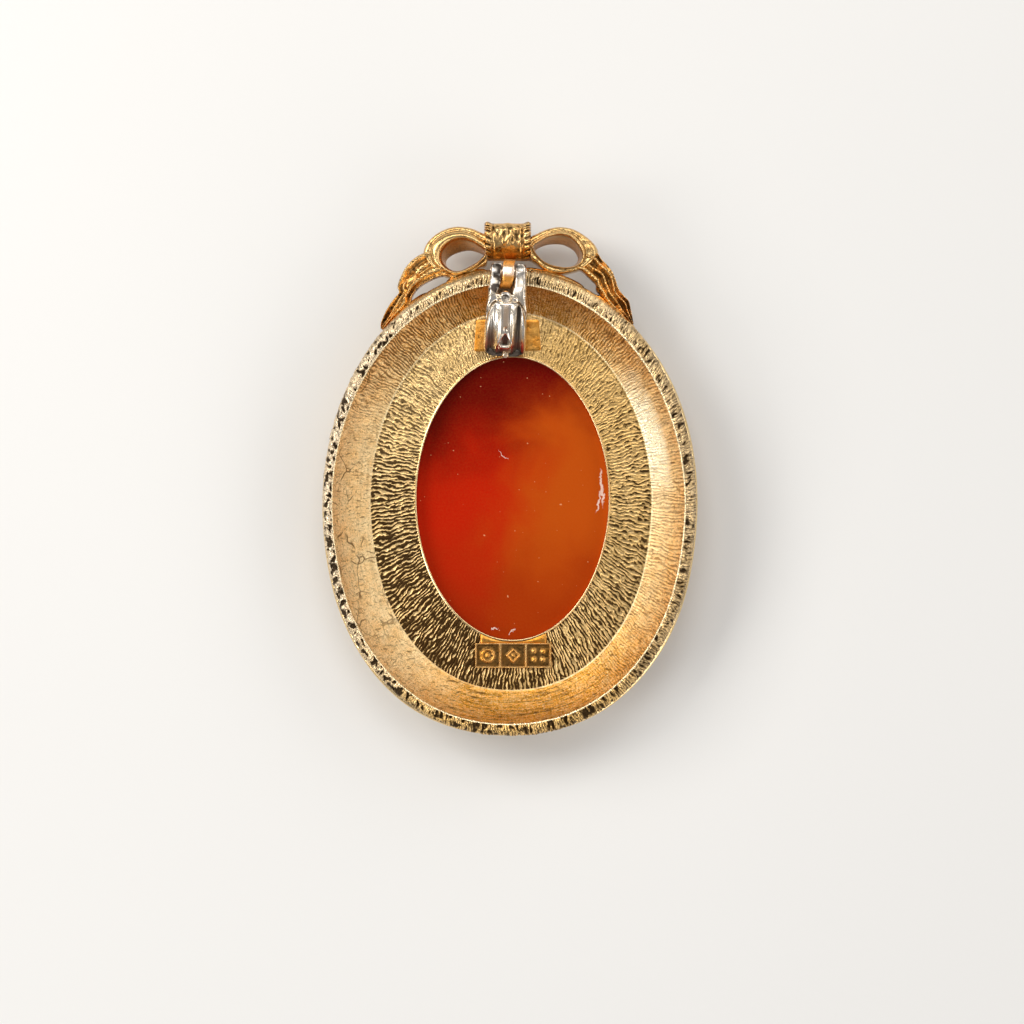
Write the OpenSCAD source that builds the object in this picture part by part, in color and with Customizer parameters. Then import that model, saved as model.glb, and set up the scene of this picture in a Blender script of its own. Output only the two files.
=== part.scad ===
// Cameo pendant, lying face down: an oval cast frame with a dished back, a set oval
// stone, a ribbon bow and a folding bail with a gate that opens.
// Units are millimetres. +Z points out of the pendant's back, +Y towards its bow.
// The origin is under the middle of the whole pendant, on the surface that it rests on.

/* [Oval frame] */
// Width of the oval frame
frame_w = 37.8; // [35:0.1:41]
// Height of the oval frame, without the bow
frame_h = 47.3; // [44:0.1:51]
// Width of the rough band along the top of the rim, at the frame's sides
rim_band = 1.25; // [1:0.05:1.6]
// Width of the same band at the frame's two ends
rim_band_ends = 1.15; // [0.95:0.05:1.5]
// Height of the rim's outer side above the smooth lip
rim_side = 1.5; // [1.2:0.05:1.8]
// Rounding of the rim's outer edge
rim_edge_r = 0.5; // [0.3:0.05:0.7]
// How far the smooth front lip stands out past the rough band
lip_out = 0.3; // [0.15:0.05:0.45]
// Thickness of the smooth front lip
lip_t = 0.5; // [0.35:0.05:0.65]
// How far the sloping wall of the dish runs in plan
wall_run = 3.2; // [2.8:0.05:3.4]
// Depth of the dish, from the top of the rim to the ring plate
dish_depth = 3; // [2.7:0.05:3.4]
// Thickness of the ring plate and of the wall
plate_t = 0.95; // [0.8:0.05:1.2]
// How far the dish sits to the right of the frame's middle
dish_shift = 0.05; // [0:0.05:0.3]

/* [Stone and bezel] */
// Width of the oval stone
stone_w = 20; // [18.5:0.1:21.5]
// Height of the oval stone
stone_h = 30; // [28:0.1:31]
// Thickness of the stone at its edge
stone_edge_t = 1.3; // [1.1:0.05:1.6]
// Height of the slope around the front of the stone
stone_slope = 0.3; // [0.15:0.05:0.4]
// Width of that slope
slope_run = 0.6; // [0.4:0.1:1]
// How far the stone sits above the frame's middle
stone_up = 0.35; // [0:0.05:0.5]
// How far the stone sits to the right of the frame's middle
stone_shift = 0.3; // [0:0.05:0.4]
// Ledge that holds the stone at its sides
ledge_side = 0.4; // [0.25:0.05:0.6]
// Ledge that holds the stone at its ends
ledge_end = 0.85; // [0.5:0.05:1.1]
// Height of the bezel in front of the ring plate
bezel_h = 3.05; // [2.95:0.05:3.5]
// Wall of the bezel around the stone
bezel_wall = 0.9; // [0.6:0.05:1.2]
// How far the bezel flares out towards the ring plate
bezel_flare = 1.6; // [0.8:0.1:2.2]
// How far the bezel's lip reaches over the front of the stone
bezel_lip = 0.4; // [0.25:0.05:0.55]
// Room between the stone and the metal
stone_gap = 0.04; // [0.03:0.01:0.06]
// Height of the carved layer on the stone
relief_h = 1; // [0.7:0.05:1.1]

/* [Bow] */
// Width across both loops of the bow
bow_w = 16.4; // [15.4:0.1:17.4]
// Height of a loop of the bow
loop_h = 4.5; // [4.2:0.05:4.8]
// Depth of the bow's ribbon, from back to front
ribbon_deep = 3.2; // [2.8:0.1:3.5]
// How far the bow's back lies below the top of the rim
bow_drop = 0.3; // [0.15:0.05:0.6]
// Width of the knot
knot_w = 4.6; // [4.2:0.05:5]
// Height of the knot
knot_h = 3.8; // [3.4:0.05:4.2]
// Rounding of the knot from back to front
knot_edge_r = 0.9; // [0.6:0.05:1.2]
// How far the knot sits to the left of the frame's middle
knot_shift = 0.15; // [0:0.05:0.3]
// Gap that shows between the knot and the rim
knot_gap = 0.75; // [0.6:0.05:0.9]
// Radius of the beads along the sides of the knot
bead_r = 0.26; // [0.2:0.02:0.32]
// Number of beads along each side of the knot
bead_n = 8; // [5:1:9]
// Width across the ends of both tails
tail_span = 25.2; // [24:0.1:26.4]
// Greatest width of a tail's ribbon
tail_w = 2; // [1.7:0.05:2.3]
// Depth of a tail's ribbon, from back to front
tail_deep = 2.2; // [1.9:0.05:2.6]
// Height of the fold along a tail's ribbon
tail_fold = 0.3; // [0.15:0.05:0.45]
// Width of each foot that joins a loop to the rim
foot_w = 1.3; // [1:0.1:1.6]

/* [Small plate under the stone] */
// Width of the small raised plate
stamp_w = 7.9; // [7:0.1:9]
// Height of the small raised plate
stamp_h = 2.8; // [2.5:0.05:3]
// How far it stands up from the ring plate
stamp_up = 0.3; // [0.2:0.05:0.45]
// Width of the raised lines around its three fields
stamp_line = 0.24; // [0.16:0.02:0.3]
// Distance of the small plate from the opening over the stone
stamp_off = 0.15; // [0.05:0.05:0.4]

/* [Bail] */
// Length of the bail from its pin to its tip
bail_len = 8.8; // [8.4:0.1:9.2]
// Width of the bail at its ears
ear_w = 3.6; // [3.3:0.05:4]
// Width of the bail at its lower end
strap_w = 4.1; // [3.8:0.05:4.4]
// Radius of the ears
ear_r = 0.8; // [0.7:0.02:0.88]
// Thickness of the strap and of the gate
band_t = 0.7; // [0.6:0.05:0.8]
// Rise of the bail's outline above the line from pin to tip
rise = 2.5; // [2.3:0.05:2.7]
// Sag of the bail's outline below that line
sag = 1.25; // [1.1:0.05:1.35]
// Angle at which the folded bail slopes down into the dish
bail_slope = 22; // [20:0.5:23]
// Angle at which the bail leans to the left
bail_lean = 3; // [0:0.5:4]
// How far the middle of its pin sits to the left of the frame's middle
pin_shift = 0.1; // [0:0.05:0.2]
// Diameter of the pin that the bail swings on
pin_d = 0.7; // [0.5:0.05:0.8]
// Width of the lug between the ears
lug_w = 1.2; // [1.1:0.05:1.3]
// Height of the pin above the top of the rim
pin_up = 1.6; // [1.5:0.05:1.75]
// Distance of the pin from the rim's upper end
pin_in = 0.75; // [0.6:0.05:0.85]
// Length along the bail from its pin to the gate's pin
knuckle_at = 2.05; // [1.95:0.05:2.3]
// Radius of the gate's ball knuckle
knuckle_r = 0.62; // [0.56:0.02:0.64]
// Width of the gate's neck at its ball
neck_w = 0.8; // [0.6:0.05:0.95]
// Radius of the knuckles on each side of the ball
side_knuckle_r = 0.45; // [0.4:0.01:0.5]
// Diameter of the pin that the gate opens on
gate_pin_d = 0.4; // [0.3:0.02:0.45]
// Radius of the two flutes along the gate
flute_r = 0.5; // [0.4:0.02:0.6]
// Depth of the flutes
flute_deep = 0.3; // [0.15:0.05:0.4]
// Radius of the ball at the gate's tip
tip_r = 0.38; // [0.32:0.02:0.44]
// Length of the drop shaped dimple near the gate's tip
dimple_len = 1.54; // [1.2:0.02:1.8]
// Length of the smooth landing on the ring plate under the bail's tip
landing_len = 3.1; // [2.6:0.1:3.4]
// Height of that landing above the ring plate
landing_up = 0.1; // [0.05:0.05:0.15]
// Running gap at the sides of moving pieces
side_gap = 0.08; // [0.06:0.01:0.1]
// Radial gap between a pin and its bore
bore_gap = 0.04; // [0.03:0.01:0.06]

/* [Hidden] */
$fn = 48;
// Room by which a cut runs past the faces that it opens, and a joined piece into its seat
past = 1;
seat = 0.4;
// Facets on the broad curves
broad_fn = 128;

// The frame, from its front bezel at z = 0 to the top of its rim
frame_a = frame_w / 2;
frame_b = frame_h / 2;
plate_back = bezel_h + plate_t;
rim_top = plate_back + dish_depth;
lip_top = rim_top - rim_side;
lip_front = lip_top - lip_t;
band_a = frame_a - lip_out;

// The dish, as the half width and half height of its mouth
dish_a = band_a - rim_band;
dish_b = frame_b - lip_out - rim_band_ends;
floor_a = dish_a - wall_run;
// The wall of the dish follows a stretch of an arc between these two angles
wall_from = 26;
wall_to = 54;
wall_steps = 8;

opening_a = stone_w / 2 - ledge_side;
opening_b = stone_h / 2 - ledge_end;
// The small plate's fields, sunk to just above the ring plate
field_up = 0.05;
field_floor = plate_back + field_up;
// Its lozenge's side as a share of a field's height, its small pellets' radius and its
// lozenge's height as shares of the plate's, and the pellets' spread in their field
lozenge_side = 0.5;
lozenge_up = 0.8;
pellet_r = 0.7;
pellet_spread = 0.2;
stone_back = bezel_h - stone_gap;
stone_front = stone_back - stone_edge_t - stone_slope;
pocket_front = stone_back - stone_edge_t - stone_gap;

// The bow stands at the rim's upper end
bow_back = rim_top - bow_drop;
bow_front = bow_back - ribbon_deep;
knot_low = frame_b + knot_gap;
top_y = knot_low + knot_h;
middle_y = (top_y - frame_b) / 2;
half_bow = bow_w / 2;
half_span = tail_span / 2;

pin_y = frame_b - pin_in;
pin_z = rim_top + pin_up;
slot_w = lug_w + 2 * side_gap;

// Height of the bail's outline of radius r over its pin line, at a length u along it
function arc_r(h) = (pow(bail_len / 2, 2) + h * h) / (2 * h);
function arc_at(u, h) = h - arc_r(h) + sqrt(pow(arc_r(h), 2) - pow(u - bail_len / 2, 2));
knuckle_up = arc_at(knuckle_at, rise) - band_t / 2;

// One loop of the bow on each side: its middle, half length and half height, then the same
// for its opening, as shares of half the bow's width in x and of the loop's height in y,
// where y starts at the rim's upper end. The last two values are tilts in degrees.
//           x     y     len   high  in_x  in_y  in_len in_high tilt in_tilt
loop_left = [-0.62, 0.345, 0.36, 0.5, -0.54, 0.165, 0.265, 0.25, 6, 16];
loop_right = [0.63, 0.345, 0.36, 0.5, 0.57, 0.245, 0.265, 0.255, -6, -13];

// The middle line of each tail: x as a share of the way from its root in the loop to the
// end of the span, y above the rim's outline as a share of the loop's height, and width as
// a share of tail_w
tail_root = 0.75 * half_bow;
//           x      y      w
tail_left = [
    [0.023, 0.321, 0.55],
    [0.258, 0.490, 0.80],
    [0.492, 0.544, 1.00],
    [0.609, 0.360, 1.00],
    [0.746, 0.224, 0.85],
    [0.883, 0.140, 0.65],
    [1.000, 0.068, 0.35]
];
tail_right = [
    [0.219, 0.699, 0.45],
    [0.336, 0.596, 0.85],
    [0.433, 0.426, 1.00],
    [0.531, 0.275, 0.95],
    [0.687, 0.221, 0.85],
    [0.824, 0.148, 0.75],
    [0.961, 0.077, 0.35]
];
tail_steps = 3;
// Shares of a tail's half width that its raised fold reaches to the left and to the right
fold_left = 0.3;
fold_right = 0.35;

// A loop's taper towards its back, and its opening's size at the front and at the back
loop_back = 0.95;
open_front = 0.86;
open_back = 1.12;

// Shares of the knot's rounding at which its beads start and lie below its back
beads_from = 0.4;
beads_under = 0.55;

// Places where the bow is soldered to the rim, as shares of half the bow's width, and how
// far each foot reaches past the band
feet = [-0.66, 0.65];
foot_reach = 1.1;

// The landing under the bail's tip, as shares of the bail's width: left and right at its
// lower end, then at its upper end, and its distance from the opening over the stone
landing_low = [-0.85, 0.78];
landing_high = [-0.76, 0.71];
landing_off = 0.5;

// The lug's tongue: its shoulder as shares of the ear's radius, then its reach and depth
shoulder_u = 0.9;
shoulder_v = 0.4;
tongue_reach = 1.15;
tongue_down = 0.9;

// The gate's outline: its top and its two lower lobes as shares of its half width, and the
// lengths of its shoulders and of the lobes
gate_top = 0.7;
lobe_at = 0.42;
lobe_r = 0.26;
shoulder_len = 1.4;
lobe_len = 0.45;
// The flutes' distance from the middle as a share of the bail's width
flute_at = 0.31;

// The bail's outline: where it starts to widen and is at its widest, as shares of the
// knuckle's place and of its length, the length of its rounded end and that end's half
// width as a share of its width
widen_from = 0.6;
widest_at = 0.5;
end_len = 0.6;
end_half = 0.3;
// How far the slot between the arms ends before the gate's pin
slot_short = 0.15;
// The dimple's place along the bail, as a share, its shape and its middle above the gate
dimple_at = bail_len * 0.77;
dimple_shape = [0.64, 1, 0.71];
dimple_up = 0.25;
// How far the tip's ball sits to the right of the gate's middle
tip_shift = 0.1;

// The half length, half width and height of a flower's middle, of a petal and of a leaf, as
// shares of the flower's radius or the leaf's half length and of the relief's height
flower_mid = [0.34, 0.34, 1];
petal = [0.46, 0.36, 0.7];
petal_at = 0.6;
leaf_shape = [1, 0.36, 0.45];
leaf_at = 0.9;

module frame_place() {
    translate([0, -middle_y, 0]) children();
}

module stone_place() {
    translate([stone_shift, stone_up, 0]) children();
}

// A solid of revolution stretched to an oval of half width a and half height b, where the
// children's outline is drawn at the scale of the half width
module oval(a, b) {
    scale([1, b / a, 1]) rotate_extrude($fn = broad_fn) children();
}

module oval_disc(a, b, z0, z1) {
    translate([0, 0, z0]) scale([1, b / a, 1]) cylinder(r = a, h = z1 - z0, $fn = broad_fn);
}

// The wall's arc from 0 to 1 across and from 0 to 1 up
function wall_x(t) = (sin(t) - sin(wall_from)) / (sin(wall_to) - sin(wall_from));
function wall_z(t) = (cos(wall_from) - cos(t)) / (cos(wall_from) - cos(wall_to));
function wall(x0, z0, run, up) = [
    for (i = [0:wall_steps])
        let (t = wall_from + (wall_to - wall_from) * i / wall_steps)
            [x0 + run * wall_x(t), z0 + up * wall_z(t)]
];

module frame_outline() {
    front_a = floor_a + plate_t / 2;
    under_a = band_a - plate_t / 2;
    flange = wall(front_a, bezel_h, under_a - front_a, lip_front - bezel_h);
    corner = [
        for (i = [0:4])
            let (t = i * 90 / 4)
                [band_a - rim_edge_r * (1 - cos(t)), rim_top - rim_edge_r * (1 - sin(t))]
    ];
    polygon(concat([[0, bezel_h]], flange, [
        [frame_a, lip_front],
        [frame_a, lip_top],
        [band_a, lip_top]
    ], corner, [[0, rim_top]]));
}

module dish_outline() {
    polygon(concat([[0, plate_back]], wall(floor_a, plate_back, wall_run, dish_depth), [
        [dish_a, rim_top + past],
        [0, rim_top + past]
    ]));
}

module shell() {
    difference() {
        oval(frame_a, frame_b) frame_outline();
        translate([dish_shift, 0, 0]) oval(dish_a, dish_b) dish_outline();
        stone_place() oval_disc(opening_a, opening_b, -past, plate_back + past);
    }
}

module oval_cone(a0, a, b, z0, z1) {
    translate([0, 0, z0]) scale([1, b / a, 1]) cylinder(r1 = a0, r2 = a, h = z1 - z0, $fn = broad_fn);
}

module bezel() {
    pocket_a = stone_w / 2 + stone_gap;
    pocket_b = stone_h / 2 + stone_gap;
    flare = bezel_flare / bezel_h;
    back_a = pocket_a + bezel_wall + bezel_flare + flare * seat;
    back_b = pocket_b + bezel_wall + bezel_flare + flare * seat;
    front_a = pocket_a + bezel_wall - flare * past;
    stone_place() difference() {
        oval_cone(front_a, back_a, back_b, -past, bezel_h + seat);
        // The flat front ring that the pendant lies on
        translate([-frame_w, -frame_h, -2 * past]) cube([2 * frame_w, 2 * frame_h, 2 * past]);
        oval_disc(pocket_a, pocket_b, pocket_front, bezel_h);
        // The lip's seat follows the slope around the stone's front
        oval_cone(pocket_a - slope_run, pocket_a, pocket_b, pocket_front - stone_slope, pocket_front);
        oval_disc(stone_w / 2 - bezel_lip, stone_h / 2 - bezel_lip, -past, bezel_h);
        oval_disc(opening_a, opening_b, -past, plate_back + past);
    }
}

// Smooth landing under the folded bail
module landing() {
    low_y = stone_up + opening_b + landing_off;
    high_y = low_y + landing_len;
    translate([0, 0, plate_back - plate_t / 2])
        linear_extrude(plate_t / 2 + landing_up) polygon([
            [landing_low[0] * strap_w, low_y],
            [landing_low[1] * strap_w, low_y],
            [landing_high[1] * strap_w, high_y],
            [landing_high[0] * strap_w, high_y]
        ]);
}

module stamp_plate() {
    top = stone_up - opening_b - stamp_off;
    field_h = stamp_h - 3 * stamp_line;
    field_w = (stamp_w - 4 * stamp_line) / 3;
    step = field_w + stamp_line;
    translate([stone_shift, top - stamp_h / 2, 0]) {
        difference() {
            translate([-stamp_w / 2, -stamp_h / 2, plate_back - seat])
                cube([stamp_w, stamp_h, seat + stamp_up]);
            for (i = [-1:1])
                translate([i * step - field_w / 2, -field_h / 2 - stamp_line / 2, field_floor])
                    cube([field_w, field_h, stamp_up + past]);
        }
        // A pellet, a lozenge and four pellets
        translate([-step, -stamp_line / 2, field_floor]) sphere(stamp_up);
        translate([0, -stamp_line / 2, plate_back - seat]) rotate(45)
            linear_extrude(seat + stamp_up * lozenge_up)
                square(field_h * lozenge_side, center = true);
        for (x = [-1, 1], y = [-1, 1])
            translate([
                step + x * field_w * pellet_spread,
                y * field_h * pellet_spread - stamp_line / 2,
                field_floor
            ]) sphere(stamp_up * pellet_r);
    }
}

module side_view(w) {
    rotate([90, 0, -90]) linear_extrude(w, center = true) children();
}

module rounded_box(w, h, r) {
    for (x = [r, w - r], y = [r, h - r]) translate([x, y]) circle(r);
    translate([r, 0]) square([w - 2 * r, h]);
    translate([0, r]) square([w, h - 2 * r]);
}

module knot() {
    bead_step = (knot_h - 2 * knot_edge_r * beads_from) / bead_n;
    translate([-knot_shift, knot_low, bow_front]) {
        translate([0, knot_h, 0]) side_view(knot_w) rounded_box(knot_h, ribbon_deep, knot_edge_r);
        for (side = [-1, 1], i = [0:bead_n - 1])
            translate([
                side * knot_w / 2,
                knot_edge_r * beads_from + (i + 0.5) * bead_step,
                ribbon_deep - knot_edge_r * beads_under
            ]) sphere(bead_r);
    }
}

module bow_loop(s) {
    translate([0, frame_b, bow_front]) difference() {
        translate([s[0] * half_bow, s[1] * loop_h, 0]) rotate(s[8])
            scale([s[2] * half_bow, s[3] * loop_h, 1])
                cylinder(r1 = 1, r2 = loop_back, h = ribbon_deep, $fn = 96);
        translate([s[4] * half_bow, s[5] * loop_h, -past]) rotate(s[9])
            scale([s[6] * half_bow, s[7] * loop_h, 1])
                cylinder(r1 = open_front, r2 = open_back, h = ribbon_deep + 2 * past, $fn = 96);
    }
}

// A smooth curve through the rows, then its outline at a share of the full width
function spline(a, b, c, d, t) = 0.5 * (
    2 * b + (c - a) * t + (2 * a - 5 * b + 4 * c - d) * t * t
    + (3 * b - a - 3 * c + d) * t * t * t
);
function row(rows, i) = rows[max(0, min(len(rows) - 1, i))];
function smooth(rows) = [
    for (i = [0:len(rows) - 2], k = [0:tail_steps - 1])
        spline(row(rows, i - 1), row(rows, i), row(rows, i + 1), row(rows, i + 2), k / tail_steps),
    rows[len(rows) - 1]
];
function rim_y(x) = frame_b * sqrt(1 - pow(x / frame_a, 2));
function tail_sizes(rows, side) = [
    for (r = smooth(rows))
        let (x = tail_root + r[0] * (half_span - tail_root))
            [side * x, rim_y(x) + r[1] * loop_h, r[2] * tail_w / 2]
];
function across(p, i) =
    let (d = row(p, i + 1) - row(p, i - 1)) [-d[1], d[0]] / norm([d[0], d[1]]);
function edge(p, share, side) = [
    for (i = [0:len(p) - 1]) [p[i][0], p[i][1]] + side * share * p[i][2] * across(p, i)
];
function backwards(p) = [for (i = [len(p) - 1:-1:0]) p[i]];

module tail(rows, side) {
    p = tail_sizes(rows, side);
    translate([0, 0, bow_front + seat]) {
        linear_extrude(tail_deep) polygon(concat(edge(p, 1, 1), backwards(edge(p, 1, -1))));
        linear_extrude(tail_deep + tail_fold)
            polygon(concat(edge(p, fold_left, 1), backwards(edge(p, fold_right, -1))));
    }
}

module bow() {
    knot();
    bow_loop(loop_left);
    bow_loop(loop_right);
    tail(tail_left, -1);
    tail(tail_right, 1);
    for (x = feet * half_bow)
        translate([x - foot_w / 2, rim_y(x) - lip_out - seat, lip_front - seat / 2])
            cube([foot_w, lip_out + seat + foot_reach, bow_back - lip_front - seat / 2]);
}

// Lug that carries the bail's pin, with a tongue down into the dish and a strap to the knot
module lug() {
    foot_z = -pin_up - seat;
    knot_u = -(pin_in + knot_gap + seat);
    pin_place() side_view(lug_w) difference() {
        union() {
            circle(ear_r);
            polygon([
                [0, ear_r],
                [ear_r * shoulder_u, ear_r * shoulder_v],
                [tongue_reach, -tongue_down],
                [tongue_reach, foot_z - seat],
                [-ear_r, foot_z],
                [-ear_r, 0]
            ]);
            translate([knot_u, foot_z]) square([-knot_u, -foot_z - ear_r]);
        }
        circle(pin_d / 2 + bore_gap);
    }
}

module pin_place() {
    translate([-pin_shift, pin_y, pin_z]) rotate([0, 0, -bail_lean]) children();
}

module setting() {
    color("goldenrod") frame_place() union() {
        shell();
        bezel();
        landing();
        stamp_plate();
        bow();
        lug();
    }
}

module cameo_ground() {
    edge_front = stone_back - stone_edge_t;
    color("orangered") frame_place() stone_place() scale([1, stone_h / stone_w, 1]) {
        translate([0, 0, edge_front]) cylinder(r = stone_w / 2, h = stone_edge_t, $fn = broad_fn);
        translate([0, 0, stone_front])
            cylinder(r1 = stone_w / 2 - slope_run, r2 = stone_w / 2, h = stone_slope, $fn = broad_fn);
    }
}

module blob(r, shape) {
    scale([r * shape[0], r * shape[1], relief_h * shape[2]]) sphere(1);
}

// One flower: a middle and a ring of petals, half sunk in the stone's front
module flower(r, n) {
    blob(r, flower_mid);
    for (i = [0:n - 1]) rotate(i * 360 / n) translate([r * petal_at, 0, 0]) blob(r, petal);
}

module leaf(r) {
    translate([r * leaf_at, 0, 0]) blob(r, leaf_shape);
}

module cameo_relief() {
    // Places, sizes, petals and turns of the flowers and leaves, as shares of half the
    // stone's width
    //          x      y      r     n  turn
    flowers = [[0, 0.15, 0.36, 6, 10], [-0.3, -0.24, 0.26, 5, 40], [0.32, -0.3, 0.24, 5, 0]];
    leaves = [
        [0.1, 0.36, 0.2, 60], [-0.12, 0.36, 0.2, 125], [0.28, 0.03, 0.2, 15],
        [-0.28, 0.03, 0.2, 165], [-0.3, -0.39, 0.18, 240], [0.3, -0.42, 0.18, 300],
        [0, -0.15, 0.24, 268]
    ];
    color("seashell") frame_place() stone_place() intersection() {
        translate([0, 0, stone_front - stone_gap / 2]) union() {
            for (f = flowers)
                translate([f[0], f[1], 0] * stone_w / 2) rotate(f[4])
                    flower(f[2] * stone_w / 2, f[3]);
            for (f = leaves)
                translate([f[0], f[1], 0] * stone_w / 2) rotate(f[3])
                    leaf(f[2] * stone_w / 2);
        }
        translate([-stone_w, -stone_h, stone_front - stone_gap / 2 - 2 * relief_h])
            cube([2 * stone_w, 2 * stone_h, 2 * relief_h]);
    }
}

module bail_place() {
    frame_place() pin_place() rotate([bail_slope, 0, 0]) children();
}

// The space inside the bail's two arcs, drawn in by a distance
module lens(in) {
    intersection() {
        translate([bail_len / 2, rise - arc_r(rise)]) circle(arc_r(rise) - in, $fn = 192);
        translate([bail_len / 2, arc_r(sag) - sag]) circle(arc_r(sag) - in, $fn = 192);
    }
}

module bail_plan() {
    translate([0, 0, -2 * rise]) linear_extrude(4 * rise) polygon([
        [-ear_w / 2, ear_r + past],
        [ear_w / 2, ear_r + past],
        [ear_w / 2, -knuckle_at * widen_from],
        [strap_w / 2, -bail_len * widest_at],
        [strap_w / 2, -bail_len + end_len],
        [strap_w * end_half, -bail_len - past],
        [-strap_w * end_half, -bail_len - past],
        [-strap_w / 2, -bail_len + end_len],
        [-strap_w / 2, -bail_len * widest_at],
        [-ear_w / 2, -knuckle_at * widen_from]
    ]);
}

module band() {
    difference() {
        lens(0);
        lens(band_t);
    }
}

module bail() {
    slot_end = knuckle_at - slot_short;
    color("silver") bail_place() difference() {
        intersection() {
            side_view(strap_w) union() {
                circle(ear_r);
                difference() {
                    band();
                    translate([knuckle_at, -side_gap / 2]) square([bail_len, 2 * rise]);
                }
                translate([knuckle_at, knuckle_up]) circle(side_knuckle_r);
            }
            bail_plan();
        }
        side_view(slot_w) {
            translate([-past - ear_r, -sag * 2]) square([past + ear_r + slot_end, sag * 2 + rise]);
            translate([0, -side_gap]) square([knuckle_at + past, 2 * rise]);
        }
        side_view(strap_w + past) circle(pin_d / 2 + bore_gap);
        side_view(strap_w + past)
            translate([knuckle_at, knuckle_up]) circle(gate_pin_d / 2 + bore_gap);
    }
}

module gate_plan() {
    top = -knuckle_at - side_knuckle_r;
    low = -bail_len + lobe_len;
    half = strap_w / 2;
    translate([0, 0, -side_gap]) linear_extrude(2 * rise) {
        polygon([
            [-half * gate_top, top],
            [half * gate_top, top],
            [half, top - shoulder_len],
            [half, low],
            [-half, low],
            [-half, top - shoulder_len]
        ]);
        for (side = [-1, 1]) translate([side * half * lobe_at, low]) circle(half * lobe_r);
    }
}

module bail_gate() {
    arc_mid = rise - arc_r(rise);
    color("silver") bail_place() difference() {
        union() {
            intersection() {
                side_view(strap_w) difference() {
                    band();
                    translate([-past, -2 * rise]) square([bail_len + 2 * past, 2 * rise + side_gap / 2]);
                    translate([-past, -past]) square([past + knuckle_at, 2 * rise + past]);
                }
                difference() {
                    gate_plan();
                    side_view(strap_w + past)
                        translate([knuckle_at, knuckle_up])
                            square(2 * (side_knuckle_r + side_gap), center = true);
                }
            }
            side_view(neck_w) intersection() {
                band();
                translate([knuckle_at, 0]) square([side_knuckle_r + past, 2 * rise]);
            }
            translate([0, -knuckle_at, knuckle_up]) sphere(knuckle_r);
            translate([tip_shift, -bail_len + tip_r, tip_r + side_gap / 2]) sphere(tip_r);
        }
        for (side = [-1, 1])
            translate([0, -bail_len / 2, arc_mid]) rotate([0, 90, 0]) rotate_extrude($fn = broad_fn)
                translate([arc_r(rise) + flute_r - flute_deep, side * strap_w * flute_at])
                    circle(flute_r);
        translate([0, -dimple_at, arc_at(dimple_at, rise) + dimple_up])
            scale(dimple_shape * dimple_len / 2) sphere(1);
        side_view(strap_w + past)
            translate([knuckle_at, knuckle_up]) circle(gate_pin_d / 2 + bore_gap);
    }
}

module bail_pin() {
    color("silver") bail_place() side_view(ear_w) circle(pin_d / 2);
}

module gate_pin() {
    color("silver") bail_place() side_view(ear_w)
        translate([knuckle_at, knuckle_up]) circle(gate_pin_d / 2);
}

setting();
cameo_ground();
cameo_relief();
bail();
bail_gate();
bail_pin();
gate_pin();
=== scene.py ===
import math

import bpy
import numpy as np
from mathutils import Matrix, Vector


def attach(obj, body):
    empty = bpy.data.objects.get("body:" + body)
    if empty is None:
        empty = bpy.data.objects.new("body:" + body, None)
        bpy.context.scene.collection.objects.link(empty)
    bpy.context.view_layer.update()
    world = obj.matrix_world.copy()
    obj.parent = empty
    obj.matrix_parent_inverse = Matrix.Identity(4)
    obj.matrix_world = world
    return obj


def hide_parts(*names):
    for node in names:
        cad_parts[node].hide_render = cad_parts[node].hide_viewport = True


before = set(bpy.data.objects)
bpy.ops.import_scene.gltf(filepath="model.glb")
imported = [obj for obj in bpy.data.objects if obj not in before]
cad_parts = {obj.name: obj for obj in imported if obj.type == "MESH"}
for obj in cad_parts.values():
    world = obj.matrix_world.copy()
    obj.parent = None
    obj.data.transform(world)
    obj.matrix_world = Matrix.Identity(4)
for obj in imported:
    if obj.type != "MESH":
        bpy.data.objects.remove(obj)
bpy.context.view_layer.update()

# Lengths are in millimetres until a mesh is made. UP is the oval's middle in the frame.
MM = 0.001
UP = -2.275
TAU = 2 * math.pi
RIM_TOP, PLATE = 7.0, 4.0
# Half sizes of the ovals that the strokes of the rim and of the dish are counted on
RIM_LINE, DISH_LINE = (18.3, 22.5), (15.5, 18.5)
# The photograph's pixel over the frame's middle, and its scale
MID_X, MID_Y, PIXELS_PER_MM = 509.5, 502, 10


def pixel(x, y):
    """The place in the frame of a pixel of the photograph."""
    return (x - MID_X) / PIXELS_PER_MM, (MID_Y - y) / PIXELS_PER_MM + UP


# Numbers: noise, curves and steps

rng = np.random.default_rng(11)
PERM = np.tile(rng.permutation(256), 3)
GRAD = rng.normal(size=(256, 3))
GRAD /= np.linalg.norm(GRAD, axis=1, keepdims=True)


def noise(p):
    """Gradient noise at points (..., 3), about -0.7 to 0.7, with features of size 1."""
    p = np.asarray(p, float)
    cell = np.floor(p).astype(int)
    f = p - cell
    w = f * f * f * (f * (f * 6 - 15) + 10)
    cell &= 255
    total = np.zeros(p.shape[:-1])
    for i in (0, 1):
        for j in (0, 1):
            for k in (0, 1):
                h = PERM[PERM[PERM[cell[..., 0] + i] + cell[..., 1] + j] + cell[..., 2] + k]
                share = (
                    (w[..., 0] if i else 1 - w[..., 0])
                    * (w[..., 1] if j else 1 - w[..., 1])
                    * (w[..., 2] if k else 1 - w[..., 2])
                )
                total += share * (GRAD[h] * (f - (i, j, k))).sum(-1)
    return total


def step(x, low, high):
    """0 up to low and 1 from high, smooth between them."""
    t = np.clip((np.asarray(x, float) - low) / (high - low), 0, 1)
    return t * t * (3 - 2 * t)


def bell(x, power=2):
    """1 where x is 0, falling to 0 on both sides."""
    return np.exp(-(x**power))


def signed(x, power):
    """A power of x that keeps its sign."""
    return np.sign(x) * np.abs(x) ** power


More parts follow.
